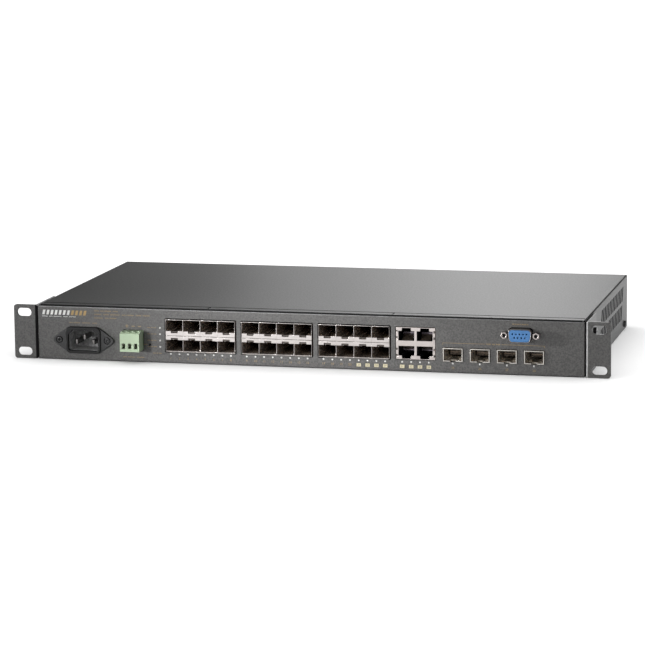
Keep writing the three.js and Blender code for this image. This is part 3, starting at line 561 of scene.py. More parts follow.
def build_cover():
    half = BODY.x1
    inside = half - COVER_GAUGE
    top = BODY.z1
    ceiling = top - COVER_GAUGE
    bend = COVER_BEND
    profile = ([(inside, BODY.z0), (half, BODY.z0)]
               + arc(half - bend, top - bend, bend, 0, 90, 6)
               + arc(bend - half, top - bend, bend, 90, 180, 6)
               + [(-half, BODY.z0), (-inside, BODY.z0), (-inside, ceiling), (inside, ceiling)])
    shell = Builder()
    shell.solid(profile, BODY.y0, BODY.y1)
    front = Builder()
    front.solid(rectangle(-219.75, 219.75, 42, 45), BODY.y0 - 1, COVER_FRONT)
    vents = Builder()
    for low, high, rear in VENT_BANDS:
        lean = (high - low) * VENT_LEAN
        for i in range(VENT_COUNT):
            y1 = rear - i * VENT_PITCH
            y0 = y1 - VENT_SLOT
            slot = [(y0, low), (y1, low), (y1 + lean, high), (y0 + lean, high)]
            vents.solid(slot, -half - 1, half + 1, "X")
    piece = carve("cover_shell", shell, [front, vents], 0.12, COVER, replaces=["top_cover"],
                  paint="cover_paint")
    front_y = place(0, COVER_FRONT + 0.15, 0).y
    vent_front = place(0, VENT_BANDS[0][2] - VENT_COUNT * VENT_PITCH, 0).y
    low, high = (VENT_BANDS[0][0] - 0.1) * MM, (VENT_BANDS[1][1] + 0.1) * MM
    wall = (inside + 0.1) * MM
    # painted shade: the cover's front edge faces and the vent slots' walls get the black of painted shade
    refinish(piece, PAINTED_SHADE, lambda centre, normal: (
        (centre.y < front_y and normal.y < -0.3)
        or (abs(centre.x) > wall and abs(normal.x) < 0.3 and low < centre.z < high
            and centre.y > vent_front)))


EAR_FACE, EAR_FLANGE = 2, 1.8
EAR_BEND, EAR_FILLET = 2.5, 0.7
EAR_CORNER = 2.2
SLOT_X = 232.55
SLOT_ZS = (5.7, 5.7 + 31.75)
EAR_SCREWS = ((35, 30), (35, 13))
EAR_SCREW_SEAT = 223.2
EAR_SCREW_RADIUS = 3.4
COVER_SCREW = (216, 5)
COVER_SCREW_RADIUS = 2.8


def build_ear(side, name):
    inner, outer = EAR.x0, EAR.x1
    inside_bend = EAR_FACE + EAR_FILLET
    profile = ([(outer, 0), (outer, EAR_FACE)]
               + arc(inner + EAR_FLANGE + EAR_FILLET, inside_bend, EAR_FILLET, 270, 180, 4)
               + [(inner + EAR_FLANGE, EAR.y1), (inner, EAR.y1)]
               + arc(inner + EAR_BEND, EAR_BEND, EAR_BEND, 180, 270, 8))
    sheet = Builder()
    sheet.solid([(side * a, b) for a, b in profile], 0, EAR.z1, "Z")
    keep = Builder()
    keep.solid(rounded(side * EAR.x, EAR.z1 / 2, outer - inner, EAR.z1, EAR_CORNER, 6), -5, 50)
    holes = Builder()
    for z in SLOT_ZS:
        holes.solid(obround(side * SLOT_X, z, 12, 6.8), -2, 5)
    low, high = sorted((side * (inner - 1), side * (inner + EAR_FLANGE + 1)))
    for y, z in EAR_SCREWS:
        holes.solid(circle(y, z, 2.2, 20), low, high, "X")
    piece = carve(f"ear_{name}", sheet, [holes], 0.22, PANEL, replaces=[f"rack_ear_{name}"],
                  paint="panel_paint", keep=keep)
    bend_back = place(0, EAR_BEND, 0).y
    # painted light on the bends: the lit right ear's bend gets the painted highlight, the left ear's bend
    # the black of painted shade
    refinish(piece, EDGE_HIGHLIGHT if side > 0 else PAINTED_SHADE, lambda centre, normal: (
        centre.y < bend_back and 0.2 < -side * normal.x < 0.85 and normal.y < -0.4))


# parts of a screw head's radius, or of its height for the recess
HEAD_HEIGHT = 0.62
CROSS_REACH, CROSS_WIDTH = 0.56, 0.12
RECESS_FLOOR = 0.35
LAP = 0.02


def cross_head(part, a, b, seat, out, radius, axis, recess_shade_slot=0):
    """A pan screw head: seat is where it rests, and out is +1 or -1 for the way it points."""
    height = radius * HEAD_HEIGHT
    arm, width = radius * CROSS_REACH, radius * CROSS_WIDTH
    cross = []
    corner = [(width, arm), (-width, arm), (-width, width)]
    for _ in range(4):
        cross += [(a + p, b + q) for p, q in corner]
        corner = [(-q, p) for p, q in corner]
    floor = seat + out * height * RECESS_FLOOR
    low, high = sorted((seat, floor - out * LAP))
    part.plate([circle(a, b, radius, 28)], low, high, axis, edge=0.05)
    low, high = sorted((floor - out * LAP, floor + out * 0.01))
    # the recess floor takes recess_shade_slot, where a caller can put painted shade
    part.plate([circle(a, b, arm * 1.15, 20)], low, high, axis, edge=0, steps=1, slot=recess_shade_slot)
    low, high = sorted((floor, seat + out * height))
    edge, back_edge = (0.04, 0.12) if out > 0 else (0.12, 0.04)
    part.plate([circle(a, b, radius * 0.985, 28), cross], low, high, axis, edge=edge, back_edge=back_edge)


def build_side_screws():
    for side, name in SIDES:
        for i, (y, z) in enumerate(EAR_SCREWS):
            part = Builder()
            cross_head(part, y, z, side * EAR_SCREW_SEAT, side, EAR_SCREW_RADIUS, "X")
            part.make(f"ear_screw_head_{name}_{i + 1}", SCREW_BLACK,
                      replaces=[f"ear_screw_{name}_{i + 1}"], paint="screw_steel")
        part = Builder()
        cross_head(part, *COVER_SCREW, side * BODY.x1, side, COVER_SCREW_RADIUS, "X")
        part.make(f"cover_screw_head_{name}", COVER, replaces=[f"cover_screw_{name}"],
                  paint="screw_steel")


# ---- mains inlet
MOUTH_CUT = 4
MOUTH_CORNER = 1.6
FLANGE_FRONT, FLANGE_SEAT = -1.9, -0.6
FLANGE_NECK = (12.4, 10.6)
FLANGE_TIP = 3
INLET_FLOOR = 17.2


def mouth(width, height):
    """The inlet's opening: a rectangle whose two upper corners are cut off."""
    a, b, r, cut = width / 2, height / 2, MOUTH_CORNER, MOUTH_CUT
    points = ([(a, b - cut), (a - cut, b), (cut - a, b), (-a, b - cut)]
              + arc(r - a, r - b, r, 180, 270, 5) + arc(a - r, r - b, r, 270, 360, 5))
    return [(INLET.x + p, INLET.z + q) for p, q in points]


def build_inlet():
    x, z = INLET.x, INLET.z
    neck_x, neck_z = FLANGE_NECK
    tip = INLET.x1 - x - FLANGE_TIP
    half_flange = [(neck_x, -neck_z)] + arc(tip, 0, FLANGE_TIP, -58, 58, 8) + [(neck_x, neck_z)]
    flange = [(x + side * p, z + side * q) for side in (1, -1) for p, q in half_flange]
    step = [(x + (p - x) * 0.975, z + (q - z) * 0.93) for p, q in flange]
    screw_holes = [circle(x + side * SCREW_OFFSET, z, 2.75, 24) for side, _ in SIDES]
    collar = rounded(x, z, 29.2, 21.4, 3.9, 6)
    well = rounded(x, z, 27.6, 19.8, 2)
    reach = INLET.y0
    part = Builder()
    part.plate([flange, mouth(25.2, 17)] + screw_holes, FLANGE_FRONT, FLANGE_SEAT, edge=0.4,
               back_edge=0.05)
    # painted shade: the undercut behind the flange and the collar's sides take the black of painted shade
    part.plate([step, mouth(25, 16.8)], FLANGE_SEAT, 0, edge=0.02, slot=1)
    part.plate([collar, mouth(24.8, 16.6)], reach + 1, 0, edge=0.02, slot=1)
    # painted shade: the collar's front face takes the darker copy of the inlet plastic
    part.plate([collar, mouth(24.6, 16.5)], reach, reach + 1, edge=0.7, steps=4, back_edge=0.02, slot=3)
    # painted light: the well's walls and floor take the light grey of painted light
    part.plate([well, mouth(24.4, 16.3)], 0, INLET_FLOOR, edge=0.05, slot=2)
    part.plate([well], INLET_FLOOR - 0.2, 20, edge=0.1, slot=2)
    part.make("inlet_body", INLET_BLACK, PAINTED_SHADE, INLET_BACK_LIGHT, COLLAR_SHADE, replaces=["inlet_housing"],
              paint="black_plastic")
    for name in ("line", "neutral", "earth"):
        box = span(f"inlet_blade_{name}")
        blade = Builder()
        blade.plate([box.front()], box.y0, box.y1, edge=0.55, steps=3)
        # painted shade: the blades take the darkened copy of nickel
        blade.make(f"blade_{name}", SHADED_BLADE, replaces=[f"inlet_blade_{name}"], paint="nickel_plate")
    for side, name in SIDES:
        screw = Builder()
        # painted shade: the inlet screws' cross recesses get the black of painted shade
        cross_head(screw, x + side * SCREW_OFFSET, z, FLANGE_SEAT - 0.05, -1, 2.3, "Y",
                   recess_shade_slot=1)
        screw.make(f"inlet_screw_head_{name}", SCREW_BLACK, PAINTED_SHADE,
                   replaces=[f"inlet_screw_{name}"], paint="screw_steel")


# ---- terminal block
PIN_SPACE = (11.4, 23.2)
NOSE_BACK = 9
WIRE_HOLE = (12.2, 16.6)
CLAMP_SPACE = (10.7, 20.8)
SCREW_SHOULDER = 21


def build_terminal():
    boxes = [span(f"clamp_screw_{i}") for i in (1, 2, 3)]
    poles = [box.x for box in boxes]
    screw_y = boxes[0].y
    reach = PLUG.y0
    low, high = PIN_SPACE
    body = Builder()
    side_view = [(reach, PLUG.z0), (0, PLUG.z0), (0, low), (NOSE_BACK, low), (NOSE_BACK, high), (0, high),
                 (0, PLUG.z1), (reach + 3, PLUG.z1), (reach + 2.2, PLUG.z1 - 0.9), (reach, PLUG.z1 - 0.9)]
    body.solid(side_view, PLUG.x0, PLUG.x1, "X")
    cuts = Builder()
    for x in poles:
        cuts.solid(rectangle(x - 1.45, x + 1.45, *WIRE_HOLE), reach - 1, -3)
        cuts.solid(rectangle(x - 2.1, x + 2.1, screw_y - 2.7, screw_y + 2.7), *CLAMP_SPACE, "Z")
        cuts.solid(circle(x, screw_y, 2.05, 24), 20, PLUG.z1 + 1, "Z")
        cuts.solid(rectangle(x - 1.2, x + 1.2, 16, 19), 3, 10)
    for a, b in zip(poles, poles[1:]):
        groove = rectangle(middle(a, b) - 0.15, middle(a, b) + 0.15, PLUG.z1 - 0.35, PLUG.z1 + 1)
        cuts.solid(groove, reach - 1, 1)
    for side in (PLUG.x0, PLUG.x1):
        cuts.solid(rectangle(side - 1.5, side + 1.5, PLUG.z0 - 1, PLUG.z1 + 1), 0.05, 10)
    carve("plug_body", body, [cuts], 0.22, GREEN, body="plug", replaces=["terminal_plug"],
          paint="green_plastic")
    for i, (x, box) in enumerate(zip(poles, boxes)):
        screw = Builder()
        floor = box.z1 - 0.8
        screw.plate([circle(x, screw_y, 1.8, 24)], SCREW_SHOULDER, floor, "Z", edge=0.08)
        for sign in (-1, 1):
            half_disc = arc(x, screw_y, 1.78, 12 * sign, 180 * sign - 12 * sign, 14)
            screw.plate([half_disc], floor, box.z1, "Z", edge=0.1)
        screw.plate([circle(x, screw_y, 1.25, 16)], box.z0, SCREW_SHOULDER, "Z", edge=0.08)
        screw.make(f"clamp_screw_head_{i + 1}", STEEL, body=f"clamp_screw_{i + 1}",
                   replaces=[f"clamp_screw_{i + 1}"], paint="screw_steel")


# ---- pluggable port cages
STRIP_LOW, STRIP_HIGH = 19, 26
SEAM_Z = 22.25
SEAM_HALF = 0.18
PORT_WIDTH = 13.84
NOTCH_HALF, NOTCH_DEPTH = 2.8, 1.6
LATCH_HALF = 2.25
CAGE_SHIFT_X, CAGE_SHIFT_Z = -0.2, -0.15
CAGE_FACE = -0.35
CAGE_SPRINGS = 24
SPRING_HALF = 0.72
PLUS_FACE = -0.8
PLUS_WALL = 0.75
PLUS_LATCH = 2.2


def notched(x, z0, z1, toward):
    """A port mouth: a rectangle with a latch notch let into the edge next to the centre strip."""
    a0, a1 = x - PORT_WIDTH / 2, x + PORT_WIDTH / 2
    n0, n1 = x - NOTCH_HALF, x + NOTCH_HALF
    if toward < 0:
        floor = z0 - NOTCH_DEPTH
        return [(a0, z0), (n0, z0), (n0, floor), (n1, floor), (n1, z0), (a1, z0), (a1, z1), (a0, z1)]
    floor = z1 + NOTCH_DEPTH
    return [(a0, z0), (a1, z0), (a1, z1), (n1, z1), (n1, floor), (n0, floor), (n0, z1), (a0, z1)]


def port_rows(box):
    """Each row's low and high Z for its cells and for its mouths, and the way to the strip: +1 is up."""
    rows = ((box.z0, SEAM_Z - SEAM_HALF, box.z0 + 0.4, STRIP_LOW, 1),
            (SEAM_Z + SEAM_HALF, box.z1 + 0.35, STRIP_HIGH, box.z1 + 0.03, -1))
    return [(*(z + CAGE_SHIFT_Z for z in heights), toward) for *heights, toward in rows]


def add_latch_tab(part, x, edge_z, toward):
    """The small bent tongue that shows inside a latch notch."""
    lip = sorted((edge_z + toward * 0.25, edge_z + toward * 1.15))
    # slot 3 is the latch tabs' painted shade
    part.block(x - LATCH_HALF, x + LATCH_HALF, 0.3, 0.8, *lip, 0.08, slot=3)
    tongue = [(0.8, edge_z + toward * 0.7), (3.5, edge_z + toward * 0.7), (9, edge_z + toward * 1.1)]
    part.strip(tongue, x, LATCH_HALF, 0.3, slot=3)


def add_port_springs(part, x, mouth_low, mouth_high, toward):
    """Ground fingers on the wall away from the strip, one on each side wall, and a rivet."""
    stop = mouth_low if toward > 0 else mouth_high
    for dx in (-3.9, 0.5, 4.3):
        finger = [(0.7, stop), (1.8, stop + toward * 0.5), (3.6, stop + toward * 0.1)]
        part.strip(finger, x + dx, 0.45, 0.18)
    rise = mouth_low + (mouth_high - mouth_low) * 0.45
    for side, _ in SIDES:
        wall = x + side * 6.72
        leaf = [(wall, 3), (wall - side * 0.45, 4.6), (wall - side * 0.1, 8)]
        part.strip(leaf, rise, 0.9, 0.2, "Z", slot=2)
    rivet = [(0, 8.2), (0.42, 8.3), (0.5, 8.6), (0.5, 9.4), (0, 9.4)]
    part.lathe(x - 3.6, mouth_high - 1.3, rivet, 12, slot=2)


def build_cage_block(number, box):
    part = Builder()
    host = Builder()
    centre = box.x + CAGE_SHIFT_X
    half_cell = (PORT_PITCH - 0.1) / 2
    for i in range(4):
        x = centre + (i - 1.5) * PORT_PITCH
        for low, high, mouth_low, mouth_high, toward in port_rows(box):
            outline = rectangle(x - half_cell, x + half_cell, low, high)
            opening = notched(x, mouth_low, mouth_high, toward)
            part.plate([outline, opening], CAGE_FACE, 0.05, edge=0.04)
            # slot 1: the port walls in painted shade
            part.plate([outline, opening], 0.05, box.y1 - 1, edge=0, steps=1, slot=1)
            edge_z = mouth_high if toward > 0 else mouth_low
            add_latch_tab(part, x, edge_z, toward)
            add_port_springs(part, x, mouth_low, mouth_high, toward)
            z = middle(mouth_low, mouth_high) - CAGE_SHIFT_Z
            host.block(x - 5.6, x + 5.6, 36.5, 45.5, z - 2.6, z + 1.8)
            host.block(x - 5, x + 5, 35.9, 36.4, z - 0.75, z + 0.1, 0.05, slot=1)
    part.block(box.x0, box.x1, box.y1 - 1, box.y1, box.z0, box.z1 - 0.4, 0.1, slot=1)
    top = box.z1 + CAGE_SHIFT_Z + 0.45
    bottom = box.z0 + CAGE_SHIFT_Z - 0.08
    for i in range(CAGE_SPRINGS):
        x = centre + (i - (CAGE_SPRINGS - 1) / 2) * (box.x1 - box.x0 - 1.2) / CAGE_SPRINGS
        # the top springs take slot 4, darkened steel as painted shade, and the low springs slot 1, the
        # painted shade inside
        for foot, out, thickness, slot in ((top, 1, 0.2, 4), (bottom, -1, 0.14, 1)):
            spring = [(CAGE_FACE, foot), (1.4, foot + out * 0.2), (3, foot + out * 0.24), (6.5, foot)]
            part.strip(spring, x, SPRING_HALF, thickness, slot=slot)
    # slots: cage nickel, painted shade inside, steel, the latch tabs' painted shade, and darkened steel as
    # painted shade
    part.make(f"cage_block_{number}", NICKEL, CAGE_SHADE, STEEL, LATCH_SHADE, SHADED_STEEL,
              replaces=[f"sfp_cage_{number}", f"sfp_divider_{number}"], paint="cage_nickel")
    host.make(f"cage_sockets_{number}", BLACK, BRASS, paint="black_plastic")


def build_plus_cage(number, box):
    x = box.x
    z0, z1 = box.z0 + PLUS_WALL, box.z1 - 0.7
    a0, a1 = box.x0 + PLUS_WALL, box.x1 - PLUS_WALL
    n0, n1 = x - PLUS_LATCH, x + PLUS_LATCH
    rim = [(box.x0, box.z0), (n0, box.z0), (n0, z0), (a0, z0), (a0, z1), (a1, z1), (a1, z0), (n1, z0),
           (n1, box.z0), (box.x1, box.z0), (box.x1, box.z1), (box.x0, box.z1)]
    part = Builder()
    part.plate([rim], PLUS_FACE, PLUS_FACE + 0.4, edge=0.12)
    # painted shade: the frame's sides behind its face take the dark copy of the cage metal
    part.plate([rim], PLUS_FACE + 0.4, 3, edge=0.02, slot=3)
    # painted light: the inside walls and the back take the pale copy of the cage metal
    part.plate([box.front(), rectangle(a0, a1, z0, z1)], 3, box.y1 - 1, edge=0, steps=1, slot=1)
    part.plate([box.front()], box.y1 - 1, box.y1, edge=0.1, slot=1)
    part.strip([(3.2, z0 + 0.1), (7, z0 + 1.5), (13, z0 + 0.3)], x, 1.9, 0.3, slot=2)
    for side, wall in ((-1, a0), (1, a1)):
        leaf = [(wall, 4), (wall - side * 1.1, 7.5), (wall - side * 0.2, 12)]
        part.strip(leaf, z0 + 3.9, 1.7, 0.25, "Z", slot=2)
        low_leaf = [(6, z0 + 0.2), (12, z0 + 1.2), (18, z0 + 0.3)]
        # the low leaves take the same painted light
        part.strip(low_leaf, x + side * 4.3, 1.1, 0.25, slot=1)
    for k in range(5):
        at = box.x0 + 1.8 + k * (box.x1 - box.x0 - 3.6) / 4
        spring = [(0.3, box.z1 + 0.04), (1.2, box.z1 + 0.22), (3, box.z1 + 0.26), (6, box.z1 + 0.1)]
        part.strip(spring, at, 0.8, 0.12)
    part.make(f"plus_cage_{number}", PLUS_NICKEL, PLUS_LIT_INSIDE, STEEL, CAGE_SHADE,
              replaces=[f"sfp_plus_cage_{number}"], paint="cage_nickel")
    host = Builder()
    z = middle(z0, z1)
    host.block(x - 5.6, x + 5.6, 17, 45.5, z - 3, z + 2.2)
    host.block(x - 5, x + 5, 16.4, 17, z - 0.9, z - 0.4, 0.05, slot=1)
    host.make(f"plus_socket_{number}", SOCKET, CONTACT, paint="black_plastic")


# ---- copper ports
# one port's half outline: the distance from its middle, and from the edge nearest the block's middle
COPPER_HALF = ((6.35, 0), (6.35, 7.6), (3.9, 7.6), (3.6, 7.6 + 0.7), (3.5, 10.05))
COPPER_COLUMN = 7.3
COPPER_ROWS = ((-1, 20.1), (1, 24.35))
SHIELD_NOTCHES = (12.6, 17.6, 26.6, 31.6)
NOTCH_IN, NOTCH_RISE = 1.3, 0.9
CONTACT_PITCH = 1.02
CORE_BACK = 24


def copper_mouth(x, row, near):
    """The keyed outline of one modular port; its key points away from the middle of the block."""
    points = list(COPPER_HALF) + [(-a, b) for a, b in reversed(COPPER_HALF)]
    return [(x + a, near + row * b) for a, b in points]


def build_copper():
    box = RJ_BOX
    ports = [(box.x + column * COPPER_COLUMN, row, near) for column in (-1, 1) for row, near in COPPER_ROWS]
    mouths = [copper_mouth(*port) for port in ports]
    outline = []
    for side, edge, first, last in ((1, box.x1, box.z0, box.z1), (-1, box.x0, box.z1, box.z0)):
        outline.append((edge, first))
        for z in SHIELD_NOTCHES[::side]:
            for rise, deep in ((-1, 0), (-1, 1), (1, 1), (1, 0)):
                outline.append((edge - side * NOTCH_IN * deep, z + side * rise * NOTCH_RISE))
        outline.append((edge, last))
    shield = Builder()
    shield.plate([outline] + mouths, 0, 0.5, edge=0.1)
    # painted shade: the shield's inner walls take the dark copy of the cage metal
    shield.plate([box.front(), box.front(0.4)], 0.52, box.y1, edge=0.05, slot=1)
    shield.plate([box.front(0.2)], box.y1 - 0.5, box.y1, edge=0.05)
    shield.make("copper_shield", SHIELD, CAGE_SHADE, replaces=["rj45_shield"], paint="cage_nickel")
    core = Builder()
    core.plate([box.front(0.45)] + mouths, 0.55, CORE_BACK, edge=0.03)
    core.plate([box.front(0.45)], CORE_BACK, box.y1 - 0.6, edge=0.05)
    for x, row, near in ports:
        wire = [(3.5, near + row * 0.3), (4.6, near + row * 0.5), (9.5, near + row * 4),
                (10.4, near + row * 3.9)]
        for k in range(8):
            core.strip(wire, x + (k - 3.5) * CONTACT_PITCH, 0.24, 0.3, slot=1)
        carrier = sorted((near + row * 3, near + row * 5.2))
        core.block(x - 4.6, x + 4.6, 10.5, 24.2, *carrier, slot=2)
    core.make("copper_core", BLACK, CONTACT, CARRIER, replaces=["rj45_core"], paint="black_plastic")


# ---- console connector
SOCKET_ROWS = ((5, 1.42), (4, -1.42))
SOCKET_PITCH = 2.77
SOCKET_RADIUS, PIN_RADIUS = 0.62, 0.42
INSERT_FACE = -0.5
JACK_TURNS = {"left": 12, "right": 30}


def build_console():
    x, z = CONSOLE.x, CONSOLE.z
    shell = Builder()
    plate_holes = [circle(x + side * JACK_OFFSET, z, SCREW_HOLE, 20) for side, _ in SIDES]
    shell.plate([rounded(x, z, 30.8, 12.4, 1), d_outline(x, z, 16.8, 8.5, 1.7)] + plate_holes, 3, 4,
                edge=0.1)
    shell.plate([d_outline(x, z, 17.9, 10.2, 2.8), d_outline(x, z, 17.2, 9.5, 2.5)], CONSOLE.y0, 3.4,
                edge=0.16, steps=3)
    # painted shade: a black ring round the shell at the panel, for the shade about it
    shell.plate([d_outline(x, z, 19, 11.2, 3), d_outline(x, z, 17.6, 9.9, 2.6)], -0.5, 0.3, edge=0.2,
                steps=3, slot=1)
    shell.make("console_rim", NICKEL, PAINTED_SHADE, replaces=["console_shell"], paint="cage_nickel")
    insert = Builder()
    places = [(x + (i - (count - 1) / 2) * SOCKET_PITCH, z + rise)
              for count, rise in SOCKET_ROWS for i in range(count)]
    sockets = [circle(*at, SOCKET_RADIUS, 14) for at in places]
    face = d_outline(x, z - 0.15, 17.1, 9.1, 2.4)
    insert.plate([face] + sockets, CONSOLE.y0 + 0.05, INSERT_FACE, edge=0.3, hole_edge=0.12, steps=3)
    insert.plate([face], INSERT_FACE - 0.1, 4.3, edge=0.05)
    insert.block(x - 9.6, x + 9.6, 4.3, 14, z - 5.4, z + 5.4, 0.3)
    for at in places:
        insert.plate([circle(*at, PIN_RADIUS, 12)], -2, INSERT_FACE, edge=0.05, slot=1)
    insert.make("console_core", BLUE, BRASS, replaces=["console_insert"], paint="blue_plastic")
    for side, name in SIDES:
        jack = Builder()
        jx = x + side * JACK_OFFSET
        # painted shade: the post's threaded hole is darkened steel
        jack.plate([circle(jx, z, 2.8, 6, JACK_TURNS[name]), circle(jx, z, 1.5, 20)], -5, 0, edge=0.3,
                   steps=3, hole_slot=1)
        jack.plate([circle(jx, z, 1.6, 20)], -0.4, 8, edge=0.1, slot=1)
        jack.make(f"jack_post_{name}", SHIELD, SHADED_STEEL, replaces=[f"console_jack_{name}"],
                  paint="screw_steel")


# ---- lamps
LENS_DOME = ((0, -0.2), (0.32, -0.15), (0.52, -0.02), (LENS_RADIUS, 0.2), (LENS_RADIUS, 0.9), (0, 0.9))


def build_lamps():
    rows = {name: [(x, LED_Z) for x in row] for name, row in LAMP_ROWS.items()}
    rows["status"] = [(STATUS.x, z) for z in STATUS_ZS]
    for name, row in rows.items():
        part = Builder()
        for x, z in row:
            part.lathe(x, z, LENS_DOME, 16)
        part.make(f"lenses_{name}", LAMP, paint="lamp_window")


# ---- printed marks
PRINT_FRONT, PRINT_BACK = -0.03, 0.02
PRINT_LEFT = -217.4
GOLD_LEFT = -173.6
STROKE_PITCH = 0.75
NUMERAL_Z = 3.9
NUMERAL_HEIGHT, SQUARE_HEIGHT = 1.9, 1.5
COPPER_NUMBER = 21
PLUS_NUMBER = 25
BRACKET_Z = 23.6
BRACKET_HALF = 0.14
BRACKET_GAP = (143.6, 156.4)
POLE_MARK_XS = (-146.4, -141.2, -136)
# each line of gold strokes: its left and right end, middle height, stroke height and words' shares
GOLD_LINES = (
    (GOLD_LEFT, -152.6, 40.2, 0.9, (3, 2, 4, 3)),
    (GOLD_LEFT, -125.2, 37.4, 0.9, (4, 3, 5, 2, 4, 3, 4)),
    (GOLD_LEFT, -153.4, 34.5, 0.9, (5, 2, 4)),
    (-194.5, -170, 30.2, 0.8, (2, 4, 5, 3)),
    (-150, -130.6, 3.8, 0.8, (2, 4, 4)),
    (-125.2, -117, 7.6, 0.75, (3, 2, 3)),
    (165, 178, 39.9, 1, (1,) * 7),
    (144.6, 156.4, BRACKET_Z, 1, (3, 2, 3)),
)


def bar(part, x0, x1, z0, z1, slot=0):
    mark(part, rectangle(x0, x1, z0, z1), slot)


def mark(part, outline, slot=0):
    part.plate([outline], PRINT_FRONT, PRINT_BACK, edge=0, steps=1, slot=slot)


def dashes(part, x0, x1, z, height, pattern):
    """A line of plain strokes that stands for small print: pattern is each word's share of the length."""
    total = sum(pattern)
    at = x0
    for share in pattern:
        length = (x1 - x0) * share / total
        strokes = max(1, round(length * 0.8 / STROKE_PITCH))
        pitch = length * 0.8 / strokes
        for k in range(strokes):
            low = z - height * (0.5 if (k + strokes) % 3 else 0.36)
            bar(part, at + k * pitch, at + k * pitch + pitch * 0.62, low, z + height / 2)
        at += length


def build_numerals(name, material, entries, height, depth):
    """Flat numerals at the lamps' places: entries are (number, x)."""
    part = Builder()
    for number, x in entries:
        curve = bpy.data.curves.new("numeral", "FONT")
        curve.body = str(number)
        curve.size = height * 1.4
        curve.align_x = "CENTER"
        curve.align_y = "CENTER"
        curve.extrude = 0.02
        curve.resolution_u = 2
        thing = add_object("numeral", curve)
        mesh = evaluated_mesh(thing)
        first = len(part.points)
        part.points += [(x + v.co.x, depth - v.co.z, NUMERAL_Z + v.co.y) for v in mesh.vertices]
        for polygon in mesh.polygons:
            part.add_face([first + i for i in polygon.vertices], 0)
        bpy.data.meshes.remove(mesh)
        bpy.data.curves.remove(curve)
    part.make(name, material)


def build_prints():
    white, gold = Builder(), Builder()
    for i in range(11):
        x = PRINT_LEFT + i * 3.45
        slanted = [(x, 36.2), (x + 2, 36.2), (x + 2.9, 40), (x + 0.9, 40)]
        mark(white if i < 7 else gold, slanted, 0 if i < 7 else 2)
    dashes(white, PRINT_LEFT, -187.5, 34.8, 0.55, (5, 3, 7, 4, 6))
    for line in GOLD_LINES:
        dashes(gold, *line)
    for z in STATUS_ZS:
        dashes(gold, STATUS.x - 10.4, STATUS.x - 2.2, z, 0.75, (3, 2, 3))
    for x in POLE_MARK_XS:
        bar(gold, x - 1.3, x + 1.3, 28.5, 29.1)
    bar(gold, -146.7, -146.1, 27.5, 30.1)
    bar(gold, -132.6, -129.4, 14.3, 14.65)
    left, right = LAMP_ROWS["sfp_plus"][0] - 8, LAMP_ROWS["sfp_plus"][3] + 8
    for x0, x1 in ((left, BRACKET_GAP[0]), (BRACKET_GAP[1], right)):
        bar(gold, x0, x1, BRACKET_Z - BRACKET_HALF, BRACKET_Z + BRACKET_HALF)
    for x in (left, right):
        bar(gold, x - BRACKET_HALF, x + BRACKET_HALF, BRACKET_Z - 1.6, BRACKET_Z)
    single = [x for i in (1, 2, 3) for x in LAMP_ROWS[f"sfp_{i}"]]
    numbered = list(enumerate(single, 1))
    last = COPPER_NUMBER - 1
    squares = numbered[last:] + list(enumerate(LAMP_ROWS["rj45"], COPPER_NUMBER))
    plain = numbered[:last] + list(enumerate(LAMP_ROWS["sfp_plus"], PLUS_NUMBER))
    for _, x in squares:
        bar(gold, x - 1.75, x + 1.75, 2.6, 5.2, slot=1)
    white.make("print_white", WHITE_PRINT)
    gold.make("print_gold", GOLD_PRINT, LABEL, GOLD_BAR)
    build_numerals("print_numerals", GOLD_PRINT, plain, NUMERAL_HEIGHT, -0.02)
    build_numerals("print_square_numerals", DARK_PRINT, squares, SQUARE_HEIGHT, -0.055)


# ---- CAD nodes that are shown as they are
# each finish, the width of its nodes' rounded edges in millimetres, and the nodes
CAD_FINISHES = (
    (COVER, 0.25, "chassis_base"),
    (BOARD, 0.1, "main_board power_board"),
    (TAPE, 0.5, "power_transformer"),
    (SLEEVE, 0.6, "bulk_capacitor"),
    (FINNED, 0.15, "power_heatsink chip_heatsink"),
    (GREEN, 0.2, "terminal_header"),
    (BLACK, 0.2, "reset_switch"),
    (BLACK, 0.15, "reset_button fan_rotor_1 fan_rotor_2"),
    (BLACK, 0.3, "fan_frame_1 fan_frame_2"),
    (CHROME, 0.12, "wire_clamp_1 wire_clamp_2 wire_clamp_3"),
    (LAMP, 0.08, "light_pipe_sfp_1 light_pipe_sfp_2 light_pipe_sfp_3"),
    (LAMP, 0.08, "light_pipe_rj45 light_pipe_sfp_plus light_pipe_status"),
)


def dress_cad_nodes():
    """Rounds the edges of carried-over CAD nodes and gives them their finish."""
    for material, width, nodes in CAD_FINISHES:
        for node in nodes.split():
            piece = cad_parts[node]
            piece.data.materials.clear()
            piece.data.materials.append(material)
            weld = piece.modifiers.new("weld", "WELD")
            weld.merge_threshold = SAME_POINT
            bevel = piece.modifiers.new("bevel", "BEVEL")
            bevel.width = width * MM
            bevel.segments = 2
            bevel.limit_method = "ANGLE"
            bevel.angle_limit = math.radians(50)


# ---- studio
CAMERA_AT = (553.2, -2162.6, 422.45)
CAMERA_RIGHT = (0.9707, 0.2400, -0.0109)
CAMERA_UP = (-0.0305, 0.1682, 0.9853)
CAMERA_LENS = 161.27
KEY_AT = (-1.4, -2.2, 0.34)
# each panel of the rear bank of lights: x0, x1, z0, z1 and radiance
BACK_WASH = ((-0.28, 0.05, 0.28, 0.72, 3.9),
             (-0.50, -0.28, 0.12, 0.72, 1.5),
             (-0.72, -0.50, 0.12, 0.72, 0.26))
BACK_WASH_Y = 1.5
WORLD_STRENGTH = 0.16
FLOOR_REACH = 12
FLOOR_DROP = 0.0002
GLOW_START, GLOW_FULL = 0.35, 1.2


